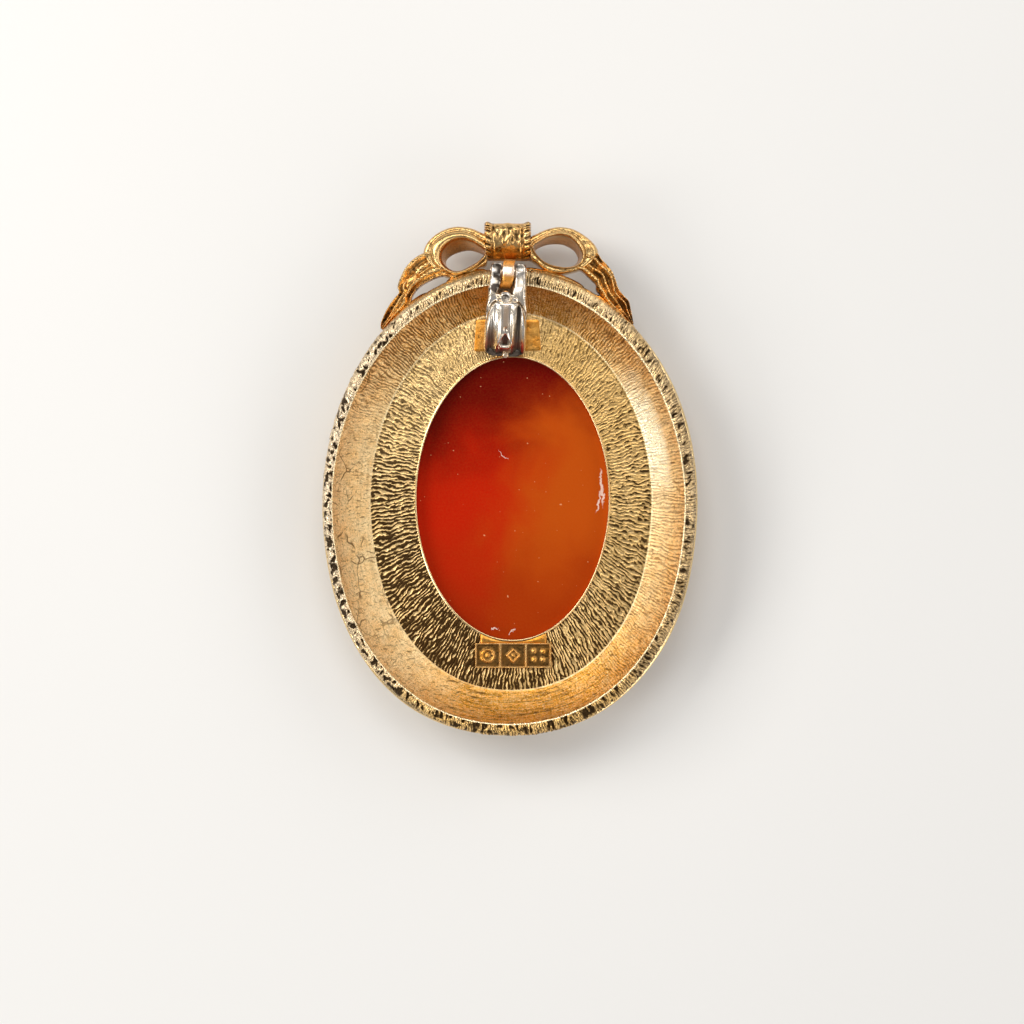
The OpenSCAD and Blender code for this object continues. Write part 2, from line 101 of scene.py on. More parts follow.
def turns(n):
    """n angles evenly round a full turn."""
    return np.linspace(0, TAU, n, endpoint=False)


def curve(points, n, closed=False):
    """A smooth curve through the points, evenly spaced."""
    p = np.array(points, float)
    m = len(p)
    spans = m if closed else m - 1
    t = np.linspace(0, spans, n * 6, endpoint=not closed)
    i = np.minimum(t.astype(int), spans - 1)
    f = (t - i)[:, None]

    def at(k):
        return p[k % m] if closed else p[np.clip(k, 0, m - 1)]

    a, b, c, d = at(i - 1), at(i), at(i + 1), at(i + 2)
    q = 0.5 * (
        2 * b + (c - a) * f + (2 * a - 5 * b + 4 * c - d) * f**2 + (3 * b - a - 3 * c + d) * f**3
    )
    return q[::6] if closed else q[np.linspace(0, len(q) - 1, n).round().astype(int)]


def around(phi, stops):
    """A value that changes smoothly round the oval, from stops of degrees and values."""
    at = np.array(list(stops), float)
    value = np.array(list(stops.values()), float)
    at = np.concatenate([at[-1:] - 360, at, at[:1] + 360])
    value = np.concatenate([value[-1:], value, value[:1]])
    d = np.degrees(phi) % 360
    i = np.clip(np.searchsorted(at, d, side="right") - 1, 0, len(at) - 2)
    t = step((d - at[i]) / (at[i + 1] - at[i]), 0, 1)
    return value[i] + (value[i + 1] - value[i]) * t


def tones(phi, m, table):
    """Each row of the table as values round the oval, the same for all m points across."""
    return {name: around(phi, stops)[:, None] + np.zeros((1, m)) for name, stops in table.items()}


def around_and_across(phi, half_sizes, r):
    """Places (x, y, distance across), which the strokes and noise of a band are laid on."""
    shape = (len(phi), len(r))
    return np.stack([
        np.broadcast_to(half_sizes[0] * np.cos(phi)[:, None], shape),
        np.broadcast_to(half_sizes[1] * np.sin(phi)[:, None], shape),
        np.broadcast_to(r, shape),
    ], -1)


# Meshes

def finish_mesh(name, verts, faces, materials, index=None, body="setting", slot="gold", layers=None):
    """A smooth object from points in millimetres, with its layers of values, riding on its body."""
    mesh = bpy.data.meshes.new(name)
    mesh.from_pydata((verts * MM).tolist(), [], faces)
    for m in materials:
        mesh.materials.append(m)
    if index is not None:
        mesh.polygons.foreach_set("material_index", index)
    mesh.polygons.foreach_set("use_smooth", [True] * len(mesh.polygons))
    for key, values in (layers or {}).items():
        values = np.asarray(values, np.float32)
        if values.ndim == 1:
            mesh.attributes.new(key, "FLOAT", "POINT").data.foreach_set("value", values)
        else:
            made = mesh.attributes.new(key, "FLOAT_VECTOR", "POINT")
            made.data.foreach_set("vector", values.ravel())
    mesh.update()
    obj = bpy.data.objects.new(name, mesh)
    bpy.context.scene.collection.objects.link(obj)
    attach(obj, body)
    return obj


def grid(name, p, materials, wrap_u=False, wrap_v=False, flip=False, cap=False, row_index=None,
        layers=None, **more):
    """A sheet of quads from points (nu, nv, 3). row_index gives each v row's material."""
    nu, nv = p.shape[:2]
    at = np.arange(nu * nv).reshape(nu, nv)
    a = at if wrap_u else at[:-1]
    b = np.roll(at, -1, 0) if wrap_u else at[1:]
    if wrap_v:
        quads = np.stack([a, b, np.roll(b, -1, 1), np.roll(a, -1, 1)], -1)
    else:
        quads = np.stack([a[:, :-1], b[:, :-1], b[:, 1:], a[:, 1:]], -1)
    if flip:
        quads = quads[..., ::-1]
    index = None
    if row_index is not None:
        index = np.broadcast_to(np.asarray(row_index)[None, : quads.shape[1]], quads.shape[:2])
        index = index.ravel().tolist()
    faces = quads.reshape(-1, 4).tolist()
    if cap:
        first, last = at[0].tolist(), at[-1].tolist()
        faces += [first if flip else first[::-1], last[::-1] if flip else last]
        if index is not None:
            index += [0, 0]
    flat = {k: v.reshape((nu * nv,) + v.shape[2:]) for k, v in (layers or {}).items()}
    return finish_mesh(name, p.reshape(-1, 3), faces, materials, index, layers=flat, **more)


def skin(name, p, material, pit, warm, **more):
    """A sheet in one material, with how dark its hollows and how warm its colour are."""
    flat = np.zeros(p.shape[:2])
    return grid(name, p, [material], layers={"pit": pit + flat, "warm": warm + flat}, **more)


# Materials

class Nodes:
    """Builds one material's nodes."""

    def __init__(self, name):
        self.material = bpy.data.materials.new(name)
        self.material.use_nodes = True
        self.tree = self.material.node_tree
        self.tree.nodes.clear()

    def put(self, socket, value):
        """Links a socket's value to another's, or sets it."""
        if isinstance(value, bpy.types.NodeSocket):
            self.tree.links.new(value, socket)
        elif value is not None:
            socket.default_value = value

    def add(self, kind, settings=None, inputs=None):
        n = self.tree.nodes.new("ShaderNode" + kind)
        for k, v in (settings or {}).items():
            setattr(n, k, v)
        for k, v in (inputs or {}).items():
            self.put(n.inputs[k], v)
        return n

    def math(self, how, a, b=None, c=None, clamp=False):
        n = self.add("Math", {"operation": how, "use_clamp": clamp})
        for i, v in enumerate((a, b, c)):
            self.put(n.inputs[i], v)
        return n.outputs[0]

    def times(self, a, b):
        return self.math("MULTIPLY", a, b)

    def plus(self, a, b, clamp=False):
        return self.math("ADD", a, b, None, clamp)

    def times_plus(self, a, b, c, clamp=False):
        return self.math("MULTIPLY_ADD", a, b, c, clamp)

    def minus(self, a, b):
        return self.math("SUBTRACT", a, b)

    def most(self, a, b):
        return self.math("MAXIMUM", a, b)

    def span(self, value, low, high, to_low=0.0, to_high=1.0):
        """to_low at the value low and to_high at high, smooth between them."""
        n = self.add("MapRange", {"interpolation_type": "SMOOTHSTEP"})
        for i, v in enumerate((value, low, high, to_low, to_high)):
            self.put(n.inputs[i], v)
        return n.outputs[0]

    def vector(self, how, a, b):
        n = self.add("VectorMath", {"operation": how}, {0: a, 3 if how == "SCALE" else 1: b})
        return n.outputs[0]

    def read(self, name, out="Fac"):
        """A layer of the mesh."""
        return self.add("Attribute", {"attribute_name": name}).outputs[out]

    def place(self):
        """The object's own coordinates in millimetres."""
        return self.vector("SCALE", self.add("TexCoord").outputs["Object"], 1000.0)

    def noise(self, vector, scale, detail=2.0, roughness=0.5, distortion=0.0, out=0):
        look = {"Scale": scale, "Detail": detail, "Roughness": roughness, "Distortion": distortion}
        return self.add("TexNoise", None, {"Vector": vector, **look}).outputs[out]

    def axes(self, vector):
        return self.add("SeparateXYZ", None, {0: vector}).outputs

    def wave(self, vector, scale, amount):
        return self.vector("SCALE", self.noise(vector, scale, out=1), amount)

    def torn(self, vector, amount, *look):
        """The place, moved about by up to half the amount by noise of the given look."""
        drift = self.vector("SUBTRACT", self.noise(vector, *look, out=1), (0.5, 0.5, 0.5))
        return self.vector("ADD", vector, self.vector("SCALE", drift, amount))

    def cracks(self, vector, scale, width):
        """Thin lines between the cells of a torn pattern, in part of the surface only."""
        cells = {"Vector": self.torn(vector, 1.5, 0.40), "Scale": scale}
        edge = self.add("TexVoronoi", {"feature": "DISTANCE_TO_EDGE"}, cells).outputs[0]
        line = self.span(edge, width, width * 0.3)
        return self.times(line, self.span(self.noise(vector, 0.30, 1.0), 0.49, 0.55))

    def strokes(self, polar, half_sizes, count, bend, jitter):
        """Lines across a ring, count of them round an oval of these half sizes, from -1 to 1."""
        p, (a, b) = self.axes(polar), half_sizes
        turn = self.math("ARCTAN2", self.math("DIVIDE", p[1], b), self.math("DIVIDE", p[0], a))
        slow = self.times(self.noise(polar, 0.5, 2.0), bend)
        quick = self.times_plus(self.noise(polar, 1.6, 2.0), jitter, slow)
        return self.math("SINE", self.times_plus(turn, float(count), quick))

    def band(self, value, middle, near, far):
        """1 close to the middle value and 0 away from it."""
        return self.span(self.math("ABSOLUTE", self.minus(value, middle)), far, near)

    def mix(self, share, a, b):
        """The colour a, changed to b by the share."""
        n = self.add("Mix", {"data_type": "RGBA", "clamp_factor": True}, {0: share, 6: a, 7: b})
        return n.outputs[2]

    def bump(self, height, distance, strength):
        n = self.add("Bump", None, {"Height": height, "Distance": distance * MM, "Strength": strength})
        return n.outputs[0]

    def surface(self, **inputs):
        n = self.add("BsdfPrincipled")
        for k, v in inputs.items():
            self.put(n.inputs[k.replace("_", " ")], v)
        out = self.add("OutputMaterial")
        self.tree.links.new(n.outputs[0], out.inputs[0])
        return self.material

    def metal(self, colour, rough, height, distance, strength, metallic=1.0):
        relief = self.bump(height, distance, strength)
        return self.surface(Base_Color=colour, Metallic=metallic, Roughness=rough, Normal=relief)


GRIME = (0.060, 0.033, 0.012, 1)


def gold_rough():
    """The rough rim: bright nuggets and ridges, with gaps dark with old polish and painted shade."""
    k = Nodes("gold_rough")
    at = k.place()
    polar = k.read("polar", "Vector")
    across = k.axes(polar)[2]
    wave = k.wave(polar, 1.3, 0.5)
    bent = k.vector("ADD", polar, wave)
    stroke = k.noise(k.vector("MULTIPLY", bent, (6.4, 6.4, 1.7)), 1.0, 2.0, 0.6)
    fine = k.noise(at, 4.2, 4.0, 0.62)
    ticks = k.times_plus(k.minus(stroke, 0.5), 4.5, k.strokes(polar, RIM_LINE, 450, 22.0, 9.0))
    pit, pale, smooth, lines = k.read("pit"), k.read("pale"), k.read("smooth"), k.read("lines")
    # A plain strip keeps its ticks along its inner side only
    calm = k.times(smooth, k.span(across, 0.55, 0.80))
    plain = k.minus(1.0, calm)
    edge = k.span(across, 0.06, 0.16)
    thin = k.times(k.span(ticks, -0.25, -0.75), k.times(lines, plain))
    line = k.times(k.span(stroke, 0.43, 0.36), k.times(plain, 0.8))
    # The dark of the gaps and strokes is old polish and painted shade.
    gaps = k.most(k.most(pit, thin), line)
    dark = k.plus(gaps, k.times(k.span(fine, 0.42, 0.32, 0.0, 0.4), plain), clamp=True)
    dark = k.times(dark, edge)
    tint = k.mix(k.span(k.noise(at, 0.55), 0.35, 0.7), (0.90, 0.67, 0.37, 1), (0.88, 0.58, 0.23, 1))
    tint = k.mix(k.read("warm"), tint, (0.90, 0.54, 0.16, 1))
    # Painted highlight: the nuggets on the left are painted pale.
    tint = k.mix(pale, tint, (0.93, 0.77, 0.56, 1))
    tint = k.mix(k.read("shade"), tint, (0.42, 0.27, 0.105, 1))
    # Painted highlight: a pale line along the lip at the dish's mouth.
    tint = k.mix(k.minus(1.0, edge), tint, (0.97, 0.80, 0.50, 1))
    colour = k.mix(k.times(dark, 0.96), tint, (0.036, 0.019, 0.008, 1))
    rough = k.plus(k.span(fine, 0.3, 0.7, 0.20, 0.33), k.times(dark, 0.3))
    height = k.times(k.times_plus(ticks, 0.30, stroke), plain)
    height = k.times_plus(fine, 0.5, height)
    return k.metal(colour, rough, height, 0.10, 0.7)


def gold_wall():
    """The dish's wall: wavy cuts across it, brush marks along it and a satin skin."""
    k = Nodes("gold_wall")
    at = k.place()
    polar = k.read("polar", "Vector")
    across = k.axes(polar)[2]
    wave = k.wave(polar, 0.7, 0.9)
    bent = k.vector("ADD", polar, wave)
    broken = k.noise(k.vector("MULTIPLY", bent, (2.4, 2.4, 1.0)), 1.0, 2.0, 0.55)
    cuts = k.times_plus(k.minus(broken, 0.5), 5.0, k.strokes(polar, DISH_LINE, 380, 20.0, 8.0))
    brush = k.noise(k.vector("MULTIPLY", polar, (0.25, 0.25, 7.0)), 1.0, 4.0, 0.6)
    grain = k.noise(k.vector("ADD", at, k.vector("SCALE", wave, 0.6)), 4.3, 3.0, 0.65, 1.4)
    scratch = k.noise(k.vector("MULTIPLY", k.vector("ADD", at, wave), (0.9, 4.6, 2.0)), 1.0, 2.0, 0.6)
    crack = k.cracks(at, 0.42, 0.026)
    radial, along, warm, shade, gleam, satin, crease = (
        k.read(n) for n in ("radial", "along", "warm", "shade", "gleam", "satin", "crease"))
    # The cuts' dark is grime and painted shade.
    groove = k.times(k.span(cuts, -0.05, -0.75), radial)
    ridge = k.times(k.span(cuts, 0.35, 1.0), k.times(radial, 0.85))
    streak = k.times(k.span(brush, 0.50, 0.40), k.times(along, 0.55))
    nick = k.times(k.span(scratch, 0.42, 0.34), 0.65)
    fleck = k.times(k.span(grain, 0.49, 0.33), 0.68)
    marks = k.most(nick, k.times(crack, satin))
    dark = k.plus(k.most(groove, streak), k.most(marks, fleck), clamp=True)
    # Painted highlight: the gleam lightens the marks here and the wall's colour below.
    dark = k.times(dark, k.minus(1.0, k.times(gleam, 0.85)))
    # Painted reflection: the wall goes orange where the gold reflects itself, with a random mottle.
    painted_reflection_and_mottle = k.plus(warm, k.span(k.noise(at, 0.8), 0.3, 0.7, -0.15, 0.15), clamp=True)
    base = k.mix(painted_reflection_and_mottle, (0.97, 0.72, 0.38, 1), (0.99, 0.46, 0.060, 1))
    base = k.mix(gleam, base, (0.97, 0.92, 0.72, 1))
    base = k.mix(shade, base, (0.34, 0.15, 0.028, 1))
    # Painted highlight on the ridges between the cuts.
    base = k.mix(ridge, base, (0.99, 0.74, 0.36, 1))
    # Painted glints: bright flecks in the satin grain.
    base = k.mix(k.span(grain, 0.51, 0.63, 0.0, 0.6), base, (0.99, 0.77, 0.42, 1))
    colour = k.mix(k.times(dark, 0.88), base, (0.13, 0.060, 0.015, 1))
    # Painted highlight: a bright line along the wall's foot.
    colour = k.mix(k.times(k.span(across, 3.28, 3.36), crease), colour, (0.97, 0.80, 0.47, 1))
    height = k.times(cuts, k.times(radial, 0.55))
    height = k.times_plus(brush, k.times(along, 0.9), height)
    height = k.times_plus(grain, 1.5, height)
    rough = k.minus(k.span(grain, 0.3, 0.7, 0.30, 0.40), k.times(gleam, 0.06))
    return k.metal(colour, rough, height, 0.07, 0.8)


def gold_plate():
    """The ring plate: closely cut, wavy lines that run out from the stone."""
    k = Nodes("gold_plate")
    at = k.place()
    polar = k.read("polar", "Vector")
    across = k.axes(polar)[2]
    wave = k.wave(polar, 0.6, 0.9)
    bent = k.vector("ADD", polar, wave)
    broken = k.noise(k.vector("MULTIPLY", bent, (2.6, 2.6, 1.5)), 1.0, 2.0, 0.55)
    cut_deep, deep, shade = k.read("cut"), k.read("deep"), k.read("shade")
    # Short dashes where the cuts are few, long lines where they are close
    breaks = k.times(k.minus(broken, 0.5), k.times_plus(cut_deep, -5.5, 9.8))
    cuts = k.plus(breaks, k.strokes(polar, DISH_LINE, 260, 21.0, 7.5))
    grain = k.noise(at, 5.0, 3.0, 0.7)
    low = k.times_plus(cut_deep, 2.75, -1.86)
    groove = k.span(cuts, k.plus(low, 0.28), k.minus(low, 0.28))
    fleck = k.span(grain, 0.43, 0.31, 0.0, 0.45)
    # The cuts' dark is grime and painted shade.
    dark = k.times_plus(groove, deep, fleck, clamp=True)
    base = k.mix(k.span(k.noise(at, 0.4), 0.3, 0.7), (0.86, 0.575, 0.235, 1), (0.87, 0.60, 0.27, 1))
    base = k.mix(shade, base, (0.60, 0.35, 0.10, 1))
    # Painted highlight on the ridges between close cuts.
    base = k.mix(k.times(k.span(cuts, 0.4, 1.6), k.times(cut_deep, 0.75)), base, (0.96, 0.70, 0.36, 1))
    colour = k.mix(k.times(dark, 0.97), base, (0.035, 0.016, 0.005, 1))
    # Painted shadow: a dark line just inside the wall's foot.
    colour = k.mix(k.times(k.band(across, 3.62, 0.04, 0.12), 0.35), colour, (0.10, 0.055, 0.02, 1))
    height = k.times(cuts, k.times_plus(cut_deep, 0.75, -0.09))
    height = k.times_plus(grain, 0.75, height)
    rough = k.times_plus(groove, 0.25, 0.30)
    return k.metal(colour, rough, height, 0.07, 0.8)


def gold_smooth(name, colour_a, colour_b, rough, wear, grain_scale=5.0, bump=0.03):
    """Burnished gold with faint stippling and fine wear."""
    k = Nodes(name)
    at = k.place()
    broad = k.noise(at, 0.7, 2.0)
    grain = k.noise(at, grain_scale, 3.0, 0.6)
    colour = k.mix(k.span(broad, 0.3, 0.7), colour_a, colour_b)
    colour = k.mix(k.times(k.span(grain, 0.42, 0.28), wear), colour, GRIME)
    r = k.span(grain, 0.3, 0.7, rough - 0.05, rough + 0.07)
    return k.metal(colour, r, grain, bump, 0.5)


def gold_cast():
    """The bow's skin: cast gold with dark hollows of grime and painted shade, and orange faces of painted
    shade and reflection, both read from the mesh, and fine grain.
    """
    k = Nodes("gold_cast")
    at = k.place()
    pit, warm = k.read("pit"), k.read("warm")
    fine = k.noise(at, 5.0, 4.0, 0.62)
    broad = k.noise(at, 0.9, 2.0)
    # Painted shade and reflection: faces that turn away or lie in hollows go orange.
    base = k.mix(k.plus(warm, k.span(broad, 0.3, 0.7, -0.2, 0.2), clamp=True), (0.77, 0.51, 0.215, 1),
        (0.82, 0.36, 0.060, 1))
    # The hollows' dark is grime and painted shade.
    dark = k.plus(pit, k.span(fine, 0.45, 0.32, 0.0, 0.75), clamp=True)
    colour = k.mix(k.times(dark, 0.95), base, (0.045, 0.023, 0.008, 1))
    r = k.times_plus(dark, 0.2, k.span(fine, 0.3, 0.7, 0.16, 0.27))
    return k.metal(colour, r, fine, 0.06, 0.5)


def gold_lug():
    """The lug's skin: orange gold, painted darker towards the knot as painted shade, with a painted
    highlight where the bail turns over it.
    """
    k = Nodes("gold_lug")
    at = k.place()
    grain = k.noise(at, 3.6, 3.0, 0.6)
    # Painted shade towards the knot, and a painted highlight where the bail turns over.
    base = k.mix(k.read("warm"), (0.55, 0.34, 0.13, 1), (0.86, 0.37, 0.065, 1))
    base = k.mix(k.read("pale"), base, (0.93, 0.72, 0.55, 1))
    colour = k.mix(k.span(grain, 0.45, 0.30, 0.0, 0.5), base, (0.45, 0.20, 0.05, 1))
    return k.metal(colour, k.span(grain, 0.3, 0.7, 0.24, 0.36), grain, 0.04, 0.5, 0.65)


def stone_back():
    """Polished carnelian: dark red at the top, red orange to the left, orange to the right."""
    k = Nodes("carnelian_polished")
    at = k.place()
    p = k.axes(k.torn(at, 9.0, 0.16, 3.0, 0.55, 0.4))
    x, y = p[0], p[1]
    right = k.span(k.times_plus(y, -0.25, x), -3.4, 6.2)
    red = k.mix(k.span(k.times_plus(x, -0.30, y), 10.0, -1.5), (0.118, 0.0004, 0.0003, 1),
        (0.43, 0.010, 0.001, 1))
    red = k.mix(k.span(y, -2.0, -15.0), red, (0.32, 0.017, 0.001, 1))
    warm = k.mix(k.span(y, -3.0, -13.0), (0.44, 0.064, 0.003, 1), (0.33, 0.030, 0.001, 1))
    warm = k.mix(k.span(y, 4.0, 11.5), warm, (0.165, 0.001, 0.001, 1))
    colour = k.mix(right, red, warm)
    grain = k.noise(at, 5.0, 3.0, 0.7)
    colour = k.mix(k.span(grain, 0.3, 0.75, 0.0, 0.06), colour, (0.50, 0.16, 0.03, 1))
    speck = k.times(k.span(k.noise(at, 2.6, 1.0), 0.76, 0.80), 0.5)
    colour = k.mix(speck, colour, (0.80, 0.42, 0.20, 1))
    mark = glue_marks(k)
    colour = k.mix(mark, colour, (0.83, 0.66, 0.58, 1))
    rough = k.plus(0.10, k.times(mark, 0.35))
    return k.surface(
        Base_Color=colour, Roughness=rough, IOR=1.54, Specular_IOR_Level=0.05,
        Subsurface_Weight=0.0, Normal=k.bump(k.noise(at, 1.2, 2.0), 0.02, 0.15))


def glue_marks(k):
    """Thin pale marks by the stone's edge and one fine scratch.

    Each is given by its place, half length, half width and turn."""
    p = k.axes(k.torn(k.place(), 1.1, 1.5, 3.0, 0.6))
    total = None
    for x, y, long, wide, turn in (
        (9.25, -0.9, 1.9, 0.14, 96), (8.95, -2.2, 1.1, 0.10, 80), (4.8, 10.9, 0.75, 0.11, -52),
        (0.25, -15.3, 0.45, 0.08, 60), (6.85, -13.6, 0.55, 0.09, 42), (-0.65, 2.4, 0.62, 0.055, 128),
        (-1.6, -15.0, 0.4, 0.07, 20)):
        c, s = math.cos(math.radians(turn)), math.sin(math.radians(turn))
        dx = k.minus(p[0], x)
        dy = k.minus(p[1], y)
        u = k.times_plus(dx, c / long, k.times(dy, s / long))
        v = k.times_plus(dy, c / wide, k.times(dx, -s / wide))
        d = k.plus(k.times(u, u), k.times(v, v))
        hit = k.span(d, 1.3, 0.5, 0.0, 0.8)
        total = hit if total is None else k.most(total, hit)
    return total


def white_layer():
    """The carved layer: warm white over pink, darker in its hollows."""
    k = Nodes("carved_layer")
    at = k.place()
    z = k.axes(at)[2]
    thin = k.span(z, 0.9, 1.45)
    colour = k.mix(thin, (0.86, 0.78, 0.70, 1), (0.72, 0.40, 0.28, 1))
    grain = k.noise(at, 4.0, 3.0, 0.6)
    colour = k.mix(k.span(grain, 0.3, 0.7, 0.0, 0.18), colour, (0.95, 0.90, 0.84, 1))
    return k.surface(Base_Color=colour, Roughness=0.38, Subsurface_Weight=0.15, Subsurface_Scale=0.0008,
        Normal=k.bump(grain, 0.03, 0.4))


def silver():
    """Polished silver, rubbed along its length, with tarnish, painted shade and painted dark reflection in
    its hollows.
    """
    k = Nodes("silver_worn")
    at = k.place()
    lines = k.noise(k.vector("MULTIPLY", at, (6.0, 0.9, 1.5)), 1.0, 3.0, 0.6)
    fine = k.noise(at, 5.0, 3.0, 0.65)
    pit = k.read("pit")
    # The hollows' dark is tarnish, painted shade and painted dark reflection.
    dark = k.plus(pit, k.span(fine, 0.36, 0.24, 0.0, 0.5), clamp=True)
    base = k.mix(k.span(k.noise(at, 0.8), 0.35, 0.7), (0.84, 0.78, 0.70, 1), (0.86, 0.73, 0.56, 1))
    base = k.mix(k.read("warm"), base, (0.97, 0.72, 0.50, 1))
    colour = k.mix(k.times(dark, 0.96), base, (0.034, 0.022, 0.017, 1))
    rough = k.plus(k.span(lines, 0.3, 0.7, 0.17, 0.27), k.times(dark, 0.22))
    height = k.plus(lines, k.times(fine, 0.5))
    return k.metal(colour, rough, height, 0.022, 0.5)


ROUGH, WALL, PLATE_GOLD, CAST = gold_rough(), gold_wall(), gold_plate(), gold_cast()
EDGE = gold_smooth("gold_edge", (0.88, 0.66, 0.36, 1), (0.84, 0.60, 0.28, 1), 0.20, 0.15)
FRONT = gold_smooth("gold_front", (0.84, 0.61, 0.29, 1), (0.82, 0.55, 0.23, 1), 0.26, 0.2, 3.0)
WARM = gold_smooth("gold_warm", (0.76, 0.29, 0.035, 1), (0.72, 0.36, 0.080, 1), 0.34, 0.6, 3.8, 0.06)
SILVER = silver()


# The oval: rings of points at one height, each with its own middle and half sizes

def ring(phi, cx, cy, a, b, z, full=0.15):
    """An oval of half sizes a and b. Its lower half is a little fuller than an ellipse."""
    c, s = np.cos(phi), np.sin(phi)
    n = 2 + full * step(-s, 0.0, 0.45)
    x = cx + a * signed(c, 2 / n)
    y = cy + UP + b * signed(s, 2 / n)
    return np.stack([x, y, z + 0 * x], -1)


# The dish's mouth and floor as (middle x, middle y, half width, half length), the stone's middle,
# the half sizes of the opening over it, and the part of a circle that the wall's section follows
MOUTH = (-0.1, -0.2, 17.55, 21.9)
FLOOR = (0.15, 0.05, 14.15, 18.95)
STONE = (0.3, 0.35)
HOLE_A, HOLE_B = 9.62, 14.15
WALL_FROM, WALL_TO = math.radians(26), math.radians(54)


def between(low, high, t):
    """The values a share t of the way from low to high."""
    return tuple(l + (h - l) * t for l, h in zip(low, high))


def wall_curve(t):
    """How far out and how far up the dish's wall has come, for t from 0 at its foot to 1."""
    a = WALL_FROM + (WALL_TO - WALL_FROM) * t
    out = (math.sin(a) - math.sin(WALL_FROM)) / (math.sin(WALL_TO) - math.sin(WALL_FROM))
    up = (math.cos(WALL_FROM) - math.cos(a)) / (math.cos(WALL_FROM) - math.cos(WALL_TO))
    return out, up


def outward(phi):
    """Level directions out of the rim's outer oval."""
    out = np.stack([np.cos(phi) / 18.6, np.sin(phi) / 23.3, 0 * phi], -1)
    return out / np.linalg.norm(out, axis=1, keepdims=True)


# Round the oval in degrees from the right, anticlockwise: round nuggets at the left and strokes
# across at both ends, smooth strips, narrow gaps, painted shade, pale gold as a painted highlight,
# warm gold, and fine lines
RIM_TONES = {
    "nuggets": {0: 0.25, 40: 0.25, 70: 0.2, 110: 0.25, 135: 0.8, 160: 1.0, 200: 0.95, 235: 0.8, 258: 0.4,
        300: 0.15, 330: 0.15},
    "smooth": {0: 0.0, 50: 0.1, 62: 0.75, 75: 0.9, 85: 0.35, 95: 0.35, 106: 0.9, 120: 0.75, 132: 0.1,
        200: 0.0},
    "few": {0: 0.12, 45: 0.12, 62: 0.14, 90: 0.14, 118: 0.13, 138: 0.02, 150: 0.0, 250: 0.0, 285: 0.02,
        320: 0.10},
    "shade": {0: 0.25, 30: 0.25, 60: 0.1, 120: 0.05, 180: 0.0, 250: 0.15, 300: 0.35, 340: 0.3},
    "pale": {0: 0.2, 110: 0.2, 135: 0.6, 160: 0.75, 200: 0.7, 225: 0.3, 240: 0.0, 300: 0.0, 330: 0.15},
    "warm": {0: 0.2, 60: 0.3, 110: 0.25, 150: 0.0, 205: 0.0, 228: 0.15, 258: 0.7, 288: 0.75, 325: 0.4},
    "lines": {0: 0.75, 45: 0.8, 70: 1.0, 110: 1.0, 130: 0.5, 150: 0.1, 235: 0.2, 262: 0.9, 300: 0.9,
        330: 0.8},
}


def make_rim():
    """The rough band that runs round the dish's mouth and over its outer side."""
    n, rows = 2300, 30
    phi = turns(n)
    # Across the band, from the mouth of the dish to the foot of its outer side
    r = np.linspace(0, 1, rows)
    over = np.clip(r / 0.74, 0, 1)
    down = np.clip((r - 0.74) / 0.26, 0, 1)
    outer = (0.0, 0.0, 18.62, 23.32)
    p = np.zeros((n, rows, 3))
    for i in range(rows):
        c = between(MOUTH, outer, over[i] ** 0.9)
        roll = 0.16 * math.sin(math.pi * over[i] ** 0.8) - 0.40 * over[i] ** 5
        p[:, i] = ring(phi, *c, RIM_TOP - 0.10 + roll - down[i] * 1.1)
    place = around_and_across(phi, RIM_LINE, r * 1.75)
    t = tones(phi, rows, RIM_TONES)
    warp = np.stack([noise(place * 0.9 + k) for k in (3, 23, 43)], -1) * 0.55
    q = place + warp
    bump = noise(q * (1.9, 1.9, 1.6) + 11) + 0.45 * noise(q * (3.9, 3.9, 3.2) + 5)
    stroke = noise(q * (3.0, 3.0, 0.9) + 31) + 0.35 * noise(q * (5.5, 5.5, 1.6) + 2)
    field = bump * t["nuggets"] + stroke * (1 - t["nuggets"])
    # The smooth strips keep only a row of strokes along their inner edge
    zone = step(r, 0.02, 0.14)[None, :] * (1 - 0.9 * t["smooth"] * step(r, 0.34, 0.48)[None, :])
    field = field * zone
    gap = step(-field, 0.03 + t["few"], 0.17 + t["few"])
    height = 0.20 * field - 0.16 * gap + 0.06 * bell((r - 0.03) / 0.04)[None, :]
    p[..., 2] += height * (1 - 0.6 * down)[None, :]
    push = np.clip(height, -0.22, 0.1) * step(r, 0.62, 0.85)[None, :]
    p[..., :2] += outward(phi)[:, None, :2] * push[..., None]
    # Dark in the gaps is old polish and painted shade; the outer side, down to its foot, is painted shade.
    dark = np.clip(gap + 0.35 * step(-field, -0.03, 0.06) + 0.5 * down[None, :], 0, 1)
    seen = {key: t[key] for key in ("shade", "smooth", "pale", "warm", "lines")}
    grid("rim_band", p, [ROUGH], wrap_u=True, flip=True, layers={
        "pit": dark, "polar": place, **seen})


# The lip's section as (half width, half length, height)
LIP = (
    (18.40, 23.10, 5.75), (18.55, 23.25, 5.58), (18.72, 23.42, 5.50), (18.84, 23.54, 5.42),
    (18.9, 23.6, 5.28), (18.9, 23.6, 5.16), (18.82, 23.52, 5.05), (18.66, 23.36, 4.99),
)
# The bezel's section as (half width, height, share of the milled edge), and how much longer
# than wide its half size is
BEZEL = (
    (12.45, 3.05, 0), (12.3, 2.95, 0), (11.9, 2.2, 0), (11.5, 1.2, 0), (11.25, 0.75, 0),
    (11.28, 0.62, 1), (11.22, 0.42, 1), (11.1, 0.22, 1), (10.9, 0.06, 0.5), (10.6, 0.0, 0),
    (10.1, 0.0, 0), (9.75, 0.05, 0), (9.62, 0.16, 0), (9.6, 0.3, 0), (9.6, 1.2, 0), (9.62, 1.64, 0),
)
LONGER = 5.0


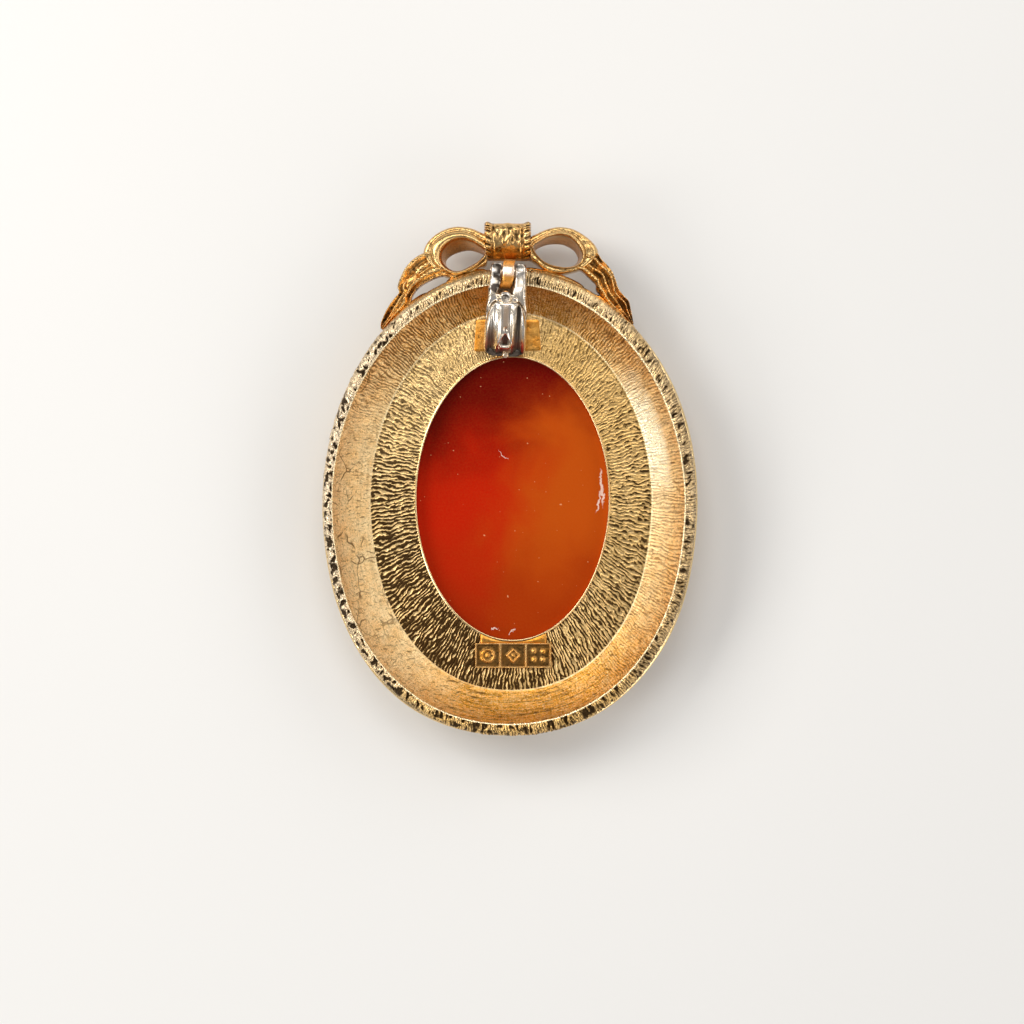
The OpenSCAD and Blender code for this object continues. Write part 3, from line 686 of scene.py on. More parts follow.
def make_lip():
    """The smooth lip that shows outside the rough band, and the plain front below it."""
    phi = turns(480)
    level = np.stack([np.cos(phi), np.sin(phi), 0 * phi], -1)
    show = around(phi, {0: 0.22, 25: 0.28, 60: 0.1, 120: 0.08, 160: 0.05, 200: 0.20, 235: 0.28, 262: 0.08,
        280: 0.05, 300: 0.2, 330: 0.3})
    rows = []
    for a, b, z in LIP:
        grow = (show - 0.3)[:, None] * (1, 1, 0) * step(a, 18.3, 18.8)
        rows.append(ring(phi, 0.0, 0.0, a, b, z) + level * grow)
    # Under the flange to the bezel
    foot, edge = (14.6, 19.1, 3.05), (18.1, 22.85, 4.9)
    for t in np.linspace(1, 0, 14):
        out, up = wall_curve(t)
        a, b, z = (low + (high - low) * s for low, high, s in zip(foot, edge, (out, out, up)))
        rows.append(ring(phi, 0.0, 0.0, a, b, z))
    milled = 0.07 * np.abs(np.sin(60 * phi))
    for a, z, cut in BEZEL:
        rows.append(ring(phi, *STONE, a, a + LONGER, z, 0) - level * (milled * cut)[:, None])
    p = np.stack(rows, 1)
    index = [0 if i < len(LIP) else 1 for i in range(p.shape[1])]
    grid("front_shell", p, [EDGE, FRONT], wrap_u=True, flip=True, row_index=index)


# Cuts across the wall, brush marks along it, an orange painted reflection, painted shade, cracks, a
# painted highlight line at its foot, how deep and how wide the plate's cuts are, painted gleams, and
# painted shade on the plate
DISH_TONES = {
    "radial": {0: 0.55, 20: 0.40, 40: 0.60, 60: 0.75, 70: 0.30, 88: 0.12, 98: 0.15, 106: 0.8, 115: 1.0,
        138: 0.9, 152: 0.45, 165: 0.20, 190: 0.12, 225: 0.12, 255: 0.05, 295: 0.10, 312: 0.45, 342: 0.6},
    "along": {0: 0.2, 30: 0.1, 150: 0.2, 180: 0.4, 215: 0.3, 240: 0.4, 256: 0.9, 290: 1.0, 315: 0.5,
        335: 0.3},
    "warm": {0: 0.25, 12: 0.12, 30: 0.15, 45: 0.5, 62: 0.75, 76: 0.95, 90: 1.0, 102: 0.85, 115: 0.60,
        140: 0.30, 160: 0.12, 200: 0.10, 232: 0.20, 246: 0.60, 258: 0.95, 285: 1.0, 310: 0.85, 335: 0.45},
    "shade": {0: 0.05, 40: 0.1, 60: 0.2, 70: 0.45, 82: 0.65, 90: 0.35, 96: 0.10, 105: 0.05, 125: 0.0,
        285: 0.0, 330: 0.05},
    "satin": {0: 0.0, 120: 0.2, 150: 1.0, 200: 1.0, 235: 0.3, 260: 0.0},
    "crease": {0: 0.6, 60: 0.7, 110: 0.7, 150: 0.6, 175: 0.15, 250: 0.2, 300: 0.7},
    "deep": {0: 1.0, 30: 0.95, 60: 0.7, 90: 0.6, 125: 0.7, 150: 0.85, 175: 1.0, 300: 1.0, 335: 0.95},
    "gleam": {0: 0.2, 8: 0.7, 16: 1.0, 27: 1.0, 36: 0.5, 46: 0.0, 300: 0.0, 340: 0.1},
    "cut": {0: 0.40, 20: 0.33, 45: 0.26, 80: 0.24, 100: 0.36, 125: 0.42, 150: 0.50, 175: 0.68, 205: 0.87,
        240: 0.97, 262: 0.88, 285: 0.74, 310: 0.68, 335: 0.55},
    "dim": {0: 0.55, 40: 0.70, 62: 0.75, 85: 0.35, 105: 0.15, 135: 0.10, 160: 0.05, 185: 0.15, 215: 0.7,
        245: 0.9, 268: 0.8, 290: 0.5, 315: 0.45, 340: 0.55},
}


def make_dish():
    """The dish's wall, the ring plate and the polished edge round the stone."""
    n = 900
    phi = turns(n)
    rows, across, index = [], [], []

    def put(points, r, kind):
        rows.append(points)
        across.append(r)
        index.append(kind)

    steps = 30
    for i in range(steps + 1):
        out, up = wall_curve(1 - i / steps)
        c = between(FLOOR, MOUTH, out)
        put(ring(phi, *c, PLATE + (RIM_TOP - 0.10 - PLATE) * up), i * 3.4 / steps, 0)
    inner = (*STONE, HOLE_A + 0.26, HOLE_B + 0.26)
    start = (*FLOOR[:2], FLOOR[2] - 0.06, FLOOR[3] - 0.06)
    for i in range(33):
        t = i / 32
        put(ring(phi, *between(start, inner, t), PLATE, 0.15 * (1 - t)), 3.45 + 4.3 * t, 1)
    lean = around(phi, {0: 1.0, 60: 0.7, 120: 0.45, 200: 0.55, 270: 0.5, 320: 0.9})
    polished = ((0.21, 0.03), (0.16, 0.07), (0.11, 0.09), (0.05, 0.08), (0.01, 0.03), (0, -0.1), (0, -0.9))
    for d, z in polished:
        e = ring(phi, *STONE, HOLE_A + d, HOLE_B + d, PLATE, 0)
        e[:, 2] += z * (0.5 + lean)
        put(e, 7.8, 2)
    p = np.stack(rows, 1)
    m = p.shape[1]
    kind = np.array(index)[None, :]
    # Hand work leaves the wall and plate a little uneven, most of all where they meet
    p[..., 2] += noise(p * 0.45 + 4) * 0.06 * (kind < 2)
    d = np.array(across)[None, :]
    meet = bell((d - 3.42) / 0.35)
    p[..., 2] += 0.07 * meet * noise(p * (1.6, 1.6, 0.3) + 24)
    t = tones(phi, m, DISH_TONES)
    t["gleam"] = t["gleam"] * step(d, 1.0, 1.9) * (kind == 0)
    t["shade"] = np.where(kind == 1, t.pop("dim"), t["shade"])
    return grid("dish", p, [WALL, PLATE_GOLD, EDGE], wrap_u=True, flip=True, row_index=index, layers={
        "polar": around_and_across(phi, DISH_LINE, d[0]), **t})


# The bow, from points read off enlarged parts of the photograph, by each part's first pixel

LEFT_PART, RIGHT_PART, KNOT_PART, ZOOM = (375, 215), (525, 220), (470, 205), 9.0


def near(points, corner):
    """Places in the frame for points of the enlarged part that starts at the corner."""
    p = np.array(points, float) / ZOOM + corner
    return np.stack(pixel(p[:, 0], p[:, 1]), -1)


def left_bow(points):
    return near(points, LEFT_PART)


def right_bow(points):
    return near(points, RIGHT_PART)


LOOP_LEFT = [left_bow(p) for p in (
    [(1010, 195), (960, 160), (880, 124), (800, 107), (720, 105), (640, 125), (560, 165), (500, 215),
        (460, 265), (437, 325), (445, 385), (480, 440), (540, 500), (620, 550), (710, 572), (800, 555),
        (880, 515), (940, 478), (1010, 430)],
    [(1000, 262), (950, 222), (880, 182), (800, 155), (710, 155), (630, 178), (560, 222), (513, 280),
        (500, 345), (512, 405), (548, 455), (605, 502), (668, 535), (730, 545), (805, 525), (880, 490),
        (950, 440), (1000, 385)],
    [(988, 330), (930, 288), (860, 250), (790, 232), (720, 240), (660, 270), (620, 315), (604, 365),
        (608, 415), (635, 458), (675, 490), (725, 508), (785, 498), (850, 466), (915, 428), (965, 385),
        (988, 352)],
    [(976, 350), (925, 328), (860, 312), (790, 318), (715, 342), (665, 372), (638, 408), (642, 445),
        (668, 475), (715, 496), (780, 490), (850, 456), (910, 420), (955, 382), (974, 360)],
)]
LOOP_RIGHT = [right_bow(p) for p in (
    [(40, 175), (110, 122), (200, 83), (310, 62), (420, 78), (510, 122), (590, 182), (640, 240),
        (660, 300), (635, 352), (590, 398), (530, 436), (465, 462), (400, 478), (320, 492), (240, 482),
        (170, 452), (105, 400), (45, 345)],
    [(62, 225), (125, 175), (200, 132), (310, 102), (410, 124), (480, 178), (530, 248), (545, 318),
        (522, 380), (472, 420), (400, 440), (325, 442), (250, 426), (178, 396), (120, 348), (72, 290)],
    [(82, 242), (130, 205), (205, 168), (315, 150), (400, 172), (460, 222), (500, 288), (506, 345),
        (482, 390), (440, 418), (380, 428), (310, 422), (230, 402), (160, 365), (110, 315), (84, 272)],
    [(98, 262), (140, 235), (205, 214), (280, 208), (350, 216), (430, 258), (470, 310), (478, 350),
        (460, 385), (430, 404), (380, 413), (315, 412), (240, 395), (170, 356), (122, 315), (100, 285)],
)]
BOW_FRONT = 3.5


def make_loop(name, rows):
    """A loop of ribbon, from its outer edge, its crest, its opening at the back and at the front."""
    n = 280
    o, q, b, f = (curve(points, n, True) for points in rows)
    lane = [
        (o, q, 0.0, BOW_FRONT), (o, q, 0.0, 4.5), (o, q, 0.0, 5.3), (o, q, 0.05, 5.7), (o, q, 0.16, 5.96),
        (o, q, 0.32, 6.10), (o, q, 0.5, 6.14), (o, q, 0.7, 6.13), (o, q, 0.88, 6.10), (o, q, 1.0, 6.18),
    ]
    # The rounded roll round the opening
    for t in np.linspace(0.06, 1, 15):
        rise = math.sin(math.pi * min(t * 0.80 + 0.06, 1)) ** 0.8
        lane.append((q, b, t, 6.18 + 0.56 * rise - 0.30 * t**3))
    top = lane[-1][3]
    for t in np.linspace(0.12, 1, 10):
        lane.append((b, f, t, top - (top - BOW_FRONT) * t))
    lane.append((f, o, 0.5, BOW_FRONT))
    p = np.zeros((n, len(lane), 3))
    for i, (low, high, t, z) in enumerate(lane):
        p[:, i, :2] = low + (high - low) * t
        p[:, i, 2] = z
    shares = np.arange(len(lane))[None, :] * np.ones((n, 1))
    fine = noise(p * 2.4 + 7)
    lump = noise(p * 0.8 + 17)
    ridge = ((shares > 2) & (shares < 9)).astype(float)
    roll = ((shares >= 9) & (shares < 24)).astype(float)
    ticks = np.sin(np.arange(n) * TAU / n * 70)[:, None]
    line = bell((shares - 22.5) / 1.2)
    p[..., 2] += 0.05 * fine * ridge + 0.05 * lump * roll + 0.04 * ticks * line
    # Painted shade: dark where the crest meets the roll, between the beads and on the front inside the
    # opening.
    pit = step(-fine, 0.16, 0.4) * ridge * 0.6 + bell((shares - 9) / 0.8) * 0.85
    pit = pit + step(-ticks, 0.1, 0.9) * line * 0.55
    inner = step(shares, 23.5, 26)
    pit = np.clip(pit + 0.35 * step(shares, 26, 33), 0, 1)
    # Painted shade and reflection: the opening's inner wall is orange.
    warm = np.clip(0.05 + 0.95 * inner + 0.15 * ridge, 0, 1)
    skin(name, p, CAST, pit, warm, wrap_u=True, wrap_v=True)


TAIL_LEFT = [left_bow(p) for p in (
    [(520, 330), (430, 345), (340, 400), (275, 472), (238, 540), (214, 600), (203, 650), (214, 700),
        (180, 742), (140, 792), (105, 850), (75, 915), (52, 968), (50, 1018)],
    [(705, 552), (650, 548), (595, 553), (545, 568), (500, 588), (450, 615), (400, 650), (362, 692),
        (334, 742), (322, 800), (250, 872), (175, 942), (118, 998), (80, 1040)],
)]
TAIL_RIGHT = [right_bow(p) for p in (
    [(600, 262), (655, 300), (672, 322), (690, 352), (742, 405), (790, 470), (820, 550), (846, 622),
        (892, 682), (935, 732), (952, 800), (966, 870), (978, 935)],
    [(440, 440), (480, 450), (520, 468), (580, 525), (635, 580), (640, 628), (672, 672), (708, 722),
        (760, 775), (808, 815), (850, 850), (895, 893), (945, 945)],
)]


FOLDS_LEFT = ((0.04, 0.13, 0.55, 0.02), (0.36, 0.11, 0.42, 0.07), (0.64, 0.16, 0.55, 0.05),
    (0.95, 0.09, 0.40, 0.02))
FOLDS_RIGHT = ((0.02, 0.07, 0.45, 0.02), (0.24, 0.10, 0.58, 0.06), (0.54, 0.08, 0.38, 0.07),
    (0.84, 0.14, 0.55, 0.03))


def make_tail(name, rows, folds, seed):
    """A tail of ribbon between two edges, with folds as (place across, width, height, sway)."""
    n, m = 260, 60
    o, i = (curve(points, n) for points in rows)
    t = np.linspace(0, 1, m)
    along = np.linspace(0, 1, n)[:, None]
    side = np.minimum(step(t, 0, 0.09), 1 - step(t, 0.93, 1.0)) ** 0.7
    p = np.zeros((n, m, 3))
    w = np.clip((t - 0.06) / 0.88, 0, 1)
    p[..., :2] = o[:, None, :] + (i - o)[:, None, :] * w[None, :, None]
    end = 1 - step(along, 0.88, 1.0) * 0.6
    shape = np.zeros((n, m))
    line = np.zeros((n, m))
    for at, wide, high, sway in folds:
        wob = at + sway * np.sin(along * 8 + at * 20 + seed) + 0.5 * sway * np.sin(along * 21 + at * 7)
        shape = np.maximum(shape, high * bell((w[None, :] - wob) / wide))
        line = np.maximum(line, bell((w[None, :] - wob) / 0.035))
    fine = noise(p * 2.6 + 27 + seed)
    tick = np.sin(along * 190 + 3 * np.sin(along * 11))
    lump = noise(p * 0.75 + 37)
    surface = 5.72 - 0.15 * along + shape * end * (1 + 0.5 * lump)
    surface = surface + 0.06 * fine + 0.22 * lump + 0.03 * tick * line
    p[..., 2] = 3.9 + (surface - 3.9) * side[None, :]
    low = 1 - step(shape, 0.06, 0.24)
    # Painted shade in the hollows between the folds and along the edges.
    pit = step(-fine, 0.10, 0.35) * 0.45 + low * 0.75 * side[None, :]
    pit = np.clip(pit + step(-tick, 0.2, 0.9) * line * 0.45 + (1 - side[None, :]) * 0.6, 0, 1)
    # Painted shade and reflection: the hollows and the inner edge go orange.
    warm = np.clip(0.12 + 0.6 * low + step(w, 0.9, 1.0)[None, :] * 0.6, 0, 1)
    skin(name, p, CAST, pit, warm, cap=True, flip=True)


def make_knot():
    """The bow's knot: a rough middle between two ribbed sides, with three scallops above."""
    nx, ny = 110, 120
    (x0, y_top), (x1, y_low) = near([(138, 165), (540, 500)], KNOT_PART)
    t = np.linspace(0, 1, nx)
    x = x0 + (x1 - x0) * np.clip((t - 0.06) / 0.88, 0, 1)
    high = np.minimum(step(t, 0, 0.10), 1 - step(t, 0.90, 1.0)) ** 0.6
    s = np.linspace(0, 1, ny)
    # From the lower front edge, over the back, to the upper front edge
    rising = [(0.1, 3.6), (0.0, 4.6), (0.25, 5.6), (1.0, 6.35), (1.9, 6.66), (2.9, 6.72)]
    falling = [(0.45, 6.55), (0.1, 6.1), (0.0, 5.2), (0.02, 3.6)]
    path = curve([(y_low + y, z) for y, z in rising] + [(y_top - y, z) for y, z in falling], ny)
    p = np.zeros((nx, ny, 3))
    p[..., 0] = x[:, None]
    p[..., 1] = path[None, :, 0]
    p[..., 2] = 3.6 + (path[None, :, 1] - 3.6) * high[:, None]
    u = (x - (x0 + x1) / 2) / ((x1 - x0) / 2)
    edge = step(np.abs(u), 0.68, 0.78)[:, None]
    ribs = np.abs(np.sin(s[None, :] * math.pi * 13 - 4.5 * np.abs(u)[:, None])) ** 0.8
    # Three scallops along the top, the outer two standing up as corners
    crown = 0.16 * bell((np.abs(u) - 0.86) / 0.10)[:, None] + 0.07 * bell(u / 0.15)[:, None]
    top = step(s, 0.70, 0.80)[None, :]
    p[..., 1] += crown * top
    rough = noise(np.stack([p[..., 0] * 3.4, p[..., 1] * 1.5, p[..., 2]], -1) + 9)
    fine = noise(p * 3.1 + 19)
    middle = (1 - edge) * step(s, 0.38, 0.46)[None, :] * (1 - step(s, 0.66, 0.72))[None, :]
    groove = bell((np.abs(u) - 0.65) / 0.045)[:, None]
    p[..., 2] += high[:, None] * (0.24 * edge * ribs + 0.24 * rough * middle + 0.05 * fine - 0.12 * groove)
    p[..., 0] += np.sign(u)[:, None] * 0.11 * edge * ribs
    # Painted shade between the ribs, in the groove and along the lower front edge; the rough middle's
    # hollows are grime and painted shade.
    pit = edge * step(0.72 - ribs, 0.0, 0.30) + step(-rough, -0.06, 0.16) * middle * 0.9
    pit = np.clip(pit + groove * 0.4 + step(0.16 - s, 0, 0.12)[None, :] * 0.6, 0, 1)
    # Painted shade: the faces at the front that turn away go orange.
    warm = 0.15 + step(0.42 - s, 0.0, 0.10) * 0.85 + step(s, 0.74, 0.84) * 0.5
    skin("bow_knot", p, CAST, pit, np.clip(warm, 0, 1), cap=True, flip=True)


def make_solder(name, low, high, size, height):
    """A smooth bead that joins the bow to the outer edge of the rim, from low to high degrees."""
    n, m = 90, 20
    t = np.linspace(0, 1, n)
    phi = np.radians(low + (high - low) * t)
    path = ring(phi, 0, 0, 18.45, 23.2, height)
    a = turns(m)[None, :, None]
    r = size * np.sqrt(np.clip(1 - (2 * t - 1) ** 6, 0.02, 1))
    up = np.array([0, 0, 1.0])
    p = path[:, None] + r[:, None, None] * (np.cos(a) * outward(phi)[:, None] + 1.5 * np.sin(a) * up)
    fine = noise(p * 1.6 + 61)
    p += 0.10 * fine[..., None] * up
    skin(name, p, CAST, step(-fine, 0.15, 0.4) * 0.6, 0.2, wrap_v=True, cap=True, flip=True)


def make_curl():
    """The rounded bulge of the left tail."""
    u, v = turns(40)[:, None], np.linspace(-math.pi / 2, math.pi / 2, 24)[None, :]
    x, y = 0.62 * np.cos(u) * np.cos(v), 1.05 * np.sin(u) * np.cos(v)
    c, s = math.cos(math.radians(-28)), math.sin(math.radians(-28))
    p = np.stack([x * c - y * s, x * s + y * c, 0.72 * np.sin(v) + 0 * u], -1)
    p += (*left_bow([(330, 600)])[0], 5.6)
    fine = noise(p * 2.6 + 40)
    p[..., 2] += 0.07 * fine
    skin("tail_curl_left", p, CAST, step(-fine, 0.12, 0.4) * 0.7, 0.45, wrap_u=True)


# The bail's own frame: x across, u along from its pin to its tip, v above the pin's line

LEAN, SLOPE = math.radians(3), math.radians(22)
PIN = np.array([-0.1, 22.9 + UP, 8.6])


def lug_to_frame(p):
    """Places in the frame for points (x, u, v) that lean with the bail but lie level."""
    x, y = p[..., 0], -p[..., 1]
    x, y = x * math.cos(LEAN) + y * math.sin(LEAN), y * math.cos(LEAN) - x * math.sin(LEAN)
    return np.stack([x, y, p[..., 2]], -1) + PIN


def bail_to_frame(p):
    """Places in the frame for points (x, u, v) of the folded bail."""
    y, z = -p[..., 1], p[..., 2]
    y, z = y * math.cos(SLOPE) - z * math.sin(SLOPE), y * math.sin(SLOPE) + z * math.cos(SLOPE)
    return lug_to_frame(np.stack([p[..., 0], -y, z], -1))


ON_BAIL = {"body": "bail", "slot": "silver"}
ON_GATE = {"body": "bail_gate", "slot": "silver"}
BAIL_LEN, RISE, SAG = 8.8, 2.5, 1.25
# Where the gate, the ears and the strap start and end along the bail
GATE_FROM, GATE_TO = 2.36, 8.62
EAR_FROM, EAR_TO = -0.80, 4.0
STRAP_FROM, STRAP_TO = 1.93, 8.75
# Half the width of the lug's tongue and of the slot between the ears
TONGUE, SLOT = 0.56, 0.63
ARC_R = ((BAIL_LEN / 2) ** 2 + RISE**2) / (2 * RISE)


def arc(u):
    """The height of the gate's top at a length u along the bail."""
    return RISE - ARC_R + np.sqrt(ARC_R**2 - (u - BAIL_LEN / 2) ** 2)


def make_gate():
    """The fluted gate: two deep valleys, a flat middle rib and a drop shaped dimple."""
    n, m = 150, 110
    s = np.linspace(0, 1, n)
    u = GATE_FROM + (GATE_TO - GATE_FROM) * s
    half = gate_half(u)
    t = np.linspace(-1, 1, m)
    x = t[None, :] * half[:, None]
    # The lower end is cut back where the valleys run out
    u = u[:, None] - s[:, None] ** 6 * 0.42 * bell((np.abs(t) - 0.70) / 0.17, 4)[None, :]
    rim = 1 - np.clip((np.abs(t) - 0.90) / 0.10, 0, 1) ** 2.2
    top = arc(u)
    fade = step(s, 0.02, 0.14)[:, None]
    grow = step(s, 0.20, 0.70)[:, None]
    left = bell((x + 1.42) / (0.12 + 0.20 * grow))
    right = bell((x - 1.26) / (0.20 + 0.08 * grow))
    top = top - 0.55 * fade * (left * (0.25 + 0.75 * grow) + right)
    # Rolled bars between the valleys and a flat rib in the middle
    top = top + 0.17 * fade * (bell((x + 0.76) / 0.20) + bell((x - 0.70) / 0.17))
    du = u - 6.70
    wide = 0.16 + 0.42 * step(du, -1.0, 0.55)
    drop = step(1 - np.abs(x) / wide, 0, 0.7) * step(du, -1.0, -0.45) * (1 - step(du, 0.55, 0.90))
    lipped = bell((np.abs(x) - wide - 0.08) / 0.09) * step(du, -1.1, -0.5) * (1 - step(du, 0.8, 1.2))
    spot = np.exp(-((x - 0.02) / 0.15) ** 2 - ((u - 5.25) / 0.24) ** 2)
    top = top - 0.34 * drop + 0.10 * lipped - 0.16 * spot + 0.05 * np.clip(1 - (x / 0.4) ** 2, 0, 1) * fade
    notch = step(s, 0.955, 1.0)[:, None] * 0.3 * (left + right)
    top = top - notch
    under = arc(u) - 0.62
    top = under + (top - under) * rim[None, :]
    ends = np.minimum(step(s, 0, 0.06), 1 - step(s, 0.975, 1.0))[:, None] ** 0.5
    top = under + (top - under) * (0.15 + 0.85 * ends)
    p = np.concatenate([
        np.stack([x, u, top], -1),
        np.stack([x[:, ::-1], u[:, ::-1], under[:, ::-1]], -1),
    ], 1)
    # Painted shade and painted dark reflection in the valleys, the dimple and along the seams, with some
    # tarnish.
    seam = bell((np.abs(x) - half[:, None] * 0.90) / 0.05) * 0.45
    mark = 0.9 * spot + 0.95 * drop + seam + 0.85 * right * fade + 0.8 * left * fade * grow
    mark = mark + 0.45 * bell((np.abs(x) - 0.40) / 0.06) * fade * (1 - step(s, 0.5, 0.6)[:, None])
    mark = mark + 0.35 * bell((x + 1.02) / 0.07) * grow + 0.3 * bell((x - 0.93) / 0.05) * fade
    mark = mark + 0.7 * step(du, 0.98, 1.12) * (np.abs(x) < 0.75)
    mark = mark + 0.75 * step(s, 0.945, 0.975)[:, None] * step(np.abs(t), 0.40, 0.50)[None, :]
    pit = np.concatenate([np.clip(mark, 0, 1), 0.3 + 0 * mark], 1)
    rib = bell(x / 0.30, 4) * fade * (1 - step(s, 0.42, 0.52)[:, None])
    warm = np.concatenate([rib + step(s, 0.94, 0.99)[:, None] * 0.8, 0 * mark], 1)
    return skin("gate_body", bail_to_frame(p), SILVER, pit, warm, wrap_v=True, cap=True, **ON_GATE)


def lathe(name, outline, at, axis, pit=0.0, warm=0.0):
    """A turned bit of the gate about the bail's x or v, from (radius, along) pairs, at (x, u, v)."""
    rows = np.array(outline, float)
    a = turns(36)
    c, s = np.cos(a)[:, None] * rows[None, :, 0], np.sin(a)[:, None] * rows[None, :, 0]
    h = rows[None, :, 1] + 0 * c
    p = np.stack([h, c, s], -1) if axis == "x" else np.stack([c, s, h], -1)
    skin(name, bail_to_frame(p + np.array(at)), SILVER, pit, warm, wrap_u=True, **ON_GATE)


def ball_rows(r, n, cup):
    """The section of a ball of radius r with a round cup in its top, a share of r deep."""
    t = np.linspace(-math.pi / 2, math.pi / 2, n)
    rows = [(r * math.cos(a), r * math.sin(a)) for a in t if r * math.sin(a) < r * 0.72]
    for f in np.linspace(1, 0, 8):
        rows.append((r * 0.68 * f, r * (0.72 - cup * (1 - f * f))))
    return rows


def ball_pit(n, cup):
    """Dark in the ball's cup as painted shade, bright round it."""
    rows = ball_rows(1.0, n, cup)
    return np.where(np.arange(len(rows)) > len(rows) - 8, 0.75, 0.0)


def low_arc(u):
    """The height of the bail's strap at a length u along it."""
    r = ((BAIL_LEN / 2) ** 2 + SAG**2) / (2 * SAG)
    return (r - SAG) - np.sqrt(r**2 - (u - BAIL_LEN / 2) ** 2)


def slot_lean(u):
    """How far the slot, and the tongue in it, have come to the left beyond the lug's round part."""
    return 0.34 * np.clip(u - 0.85, 0, 0.85)


def gate_half(u):
    """Half the gate's width at a length u along the bail."""
    along = [GATE_FROM, 2.48, 2.74, 3.1, 3.9, 5.0, 7.4, 8.2, GATE_TO]
    return np.interp(u, along, [0.62, 0.95, 1.28, 1.56, 1.86, 2.05, 2.10, 2.06, 1.96])


def make_arm(name, side):
    """An ear, and its cheek that runs down beside the gate's shoulder."""
    n, m = 130, 30
    s = np.linspace(0, 1, n)
    u = EAR_FROM + (EAR_TO - EAR_FROM) * s
    line = curve([
        (-0.8, 0.0), (-0.77, 0.22), (-0.68, 0.42), (-0.5, 0.62), (-0.2, 0.79), (0.2, 0.93), (0.6, 1.12),
        (1.0, 1.36), (1.5, 1.64), (2.0, 1.84), (2.5, 1.92), (3.0, 1.88), (3.5, 1.76), (4.0, 1.5)], 200)
    top = np.interp(u, line[:, 0], line[:, 1])
    rounded = -np.sqrt(np.clip(0.64 - np.clip(u, -0.8, 0.1) ** 2, 0, None))
    low = np.where(u < 0.5, rounded, low_arc(np.clip(u, 0, None)) + 0.05)
    low = np.convolve(np.pad(low, 3, mode="edge"), np.ones(7) / 7, mode="valid")
    outer = np.interp(u, [-0.8, 0.2, 2.5, 4.0], [1.72, 1.80, 1.98, 2.08])
    outer = outer - 0.28 * np.clip(1 - (u + 0.8) / 0.35, 0, 1) ** 2
    inner = np.where(u < 2.2, SLOT - side * slot_lean(u), gate_half(u) + 0.08)
    joined = np.interp(u, [1.9, 2.2], [SLOT - side * slot_lean(1.9), 0.72])
    inner = np.where((u > 1.9) & (u < 2.2), joined, inner)
    inner = np.minimum(inner + 0.12 * np.clip(1 - (u + 0.8) / 0.22, 0, 1) ** 2, outer - 0.05)
    c, d = np.cos(turns(m)), np.sin(turns(m))
    px, pv = signed(c, 0.5), signed(d, 0.6)
    x = (outer + inner)[:, None] / 2 + px[None, :] * (outer - inner)[:, None] / 2
    v = (top + low)[:, None] / 2 + pv[None, :] * (top - low)[:, None] / 2
    p = np.stack([side * x, u[:, None] + 0 * x, v], -1)
    fine = noise(p * (3.4, 2.2, 2.2) + 5)
    worn = (1.0 if side < 0 else 0.45) * (1 - step(u, 1.5, 2.1))[:, None]
    p[..., 2] += 0.07 * fine * worn
    # The side towards the lug and the underside are painted shade, with a dark spot low on the left ear
    tucked = step(-px, 0.1, 0.85)[None, :] * (1 - step(u, 1.9, 2.3))[:, None]
    spot = np.exp(-((p[..., 1] - 1.2) / 0.45) ** 2 - ((np.abs(p[..., 0]) - 1.2) / 0.16) ** 2)
    pit = step(-fine, -0.05, 0.22) * worn + 0.30 * worn * (np.abs(px) < 0.8)[None, :]
    pit = pit + spot * (side < 0) * 0.95 + 0.45 * tucked * (side > 0) + 0.5 * (d < -0.2)[None, :]
    pit = np.clip(pit, 0, 1)
    return skin(name, bail_to_frame(p), SILVER, pit, 0, wrap_v=True, cap=True, flip=side > 0, **ON_BAIL)


def make_strap():
    """The back of the bail's loop, under the gate."""
    n, m = 90, 30
    u = np.linspace(STRAP_FROM, STRAP_TO, n)
    half = np.interp(u, [1.93, 4.4, 8.2, 8.6, 8.75], [1.83, 2.03, 2.03, 1.75, 1.3])
    px, pv = signed(np.cos(turns(m)), 0.25), signed(np.sin(turns(m)), 0.5)
    x = px[None, :] * half[:, None]
    v = low_arc(u)[:, None] + 0.35 + 0.33 * pv[None, :]
    # Its edges are turned up beside the gate
    turned_up = step(u, 2.0, 2.4) * (1 - step(u, 6.5, 7.6))
    v += (0.45 * step(np.abs(px), 0.84, 0.95) * (pv > 0))[None, :] * turned_up[:, None]
    p = np.stack([x, u[:, None] + 0 * x, v], -1)
    # Painted shade: the strap lies under the gate, darkest at its far end.
    pit = 0.25 + 0.75 * step(u, 7.9, 8.3)[:, None]
    skin("bail_strap", bail_to_frame(p), SILVER, pit, 0, wrap_v=True, cap=True, **ON_BAIL)


def make_lug():
    """The lug, and its tongue down between the ears."""
    side = curve([(-1.34, -3.6), (-1.30, -2.0), (-1.22, -1.0), (-1.04, -0.30), (-0.80, 0.24),
        (-0.55, 0.56), (-0.30, 0.70), (0.30, 0.78), (0.62, 0.73), (1.0, 0.57), (1.36, 0.36), (1.60, 0.16),
        (1.70, -0.20), (1.74, -1.3), (1.74, -2.3)], 84)
    x = np.array([-TONGUE, -TONGUE, -0.5, -0.25, 0.0, 0.25, 0.5, TONGUE, TONGUE])
    drop = np.array([0.9, 0.07, 0.0, 0, 0, 0, 0.0, 0.07, 0.9])
    p = np.zeros((len(side), len(x), 3))
    lean = slot_lean(side[:, 0]) - 0.25 * np.clip(-0.85 - side[:, 0], 0, 1.2)
    p[..., 0] = x[None, :] - lean[:, None]
    p[..., 1] = side[:, None, 0]
    p[..., 2] = side[:, None, 1] - drop[None, :] + 0.02 * noise(p * 3)
    # Painted highlight along the top of the lug's curve; the part towards the knot is left in painted
    # shade.
    pale = bell(side[:, 0] / 0.48, 4)[:, None] + 0 * x
    grid("lug", lug_to_frame(p), [gold_lug()], layers={"pale": pale, "warm": step(p[..., 1], -1.2, -0.95)})


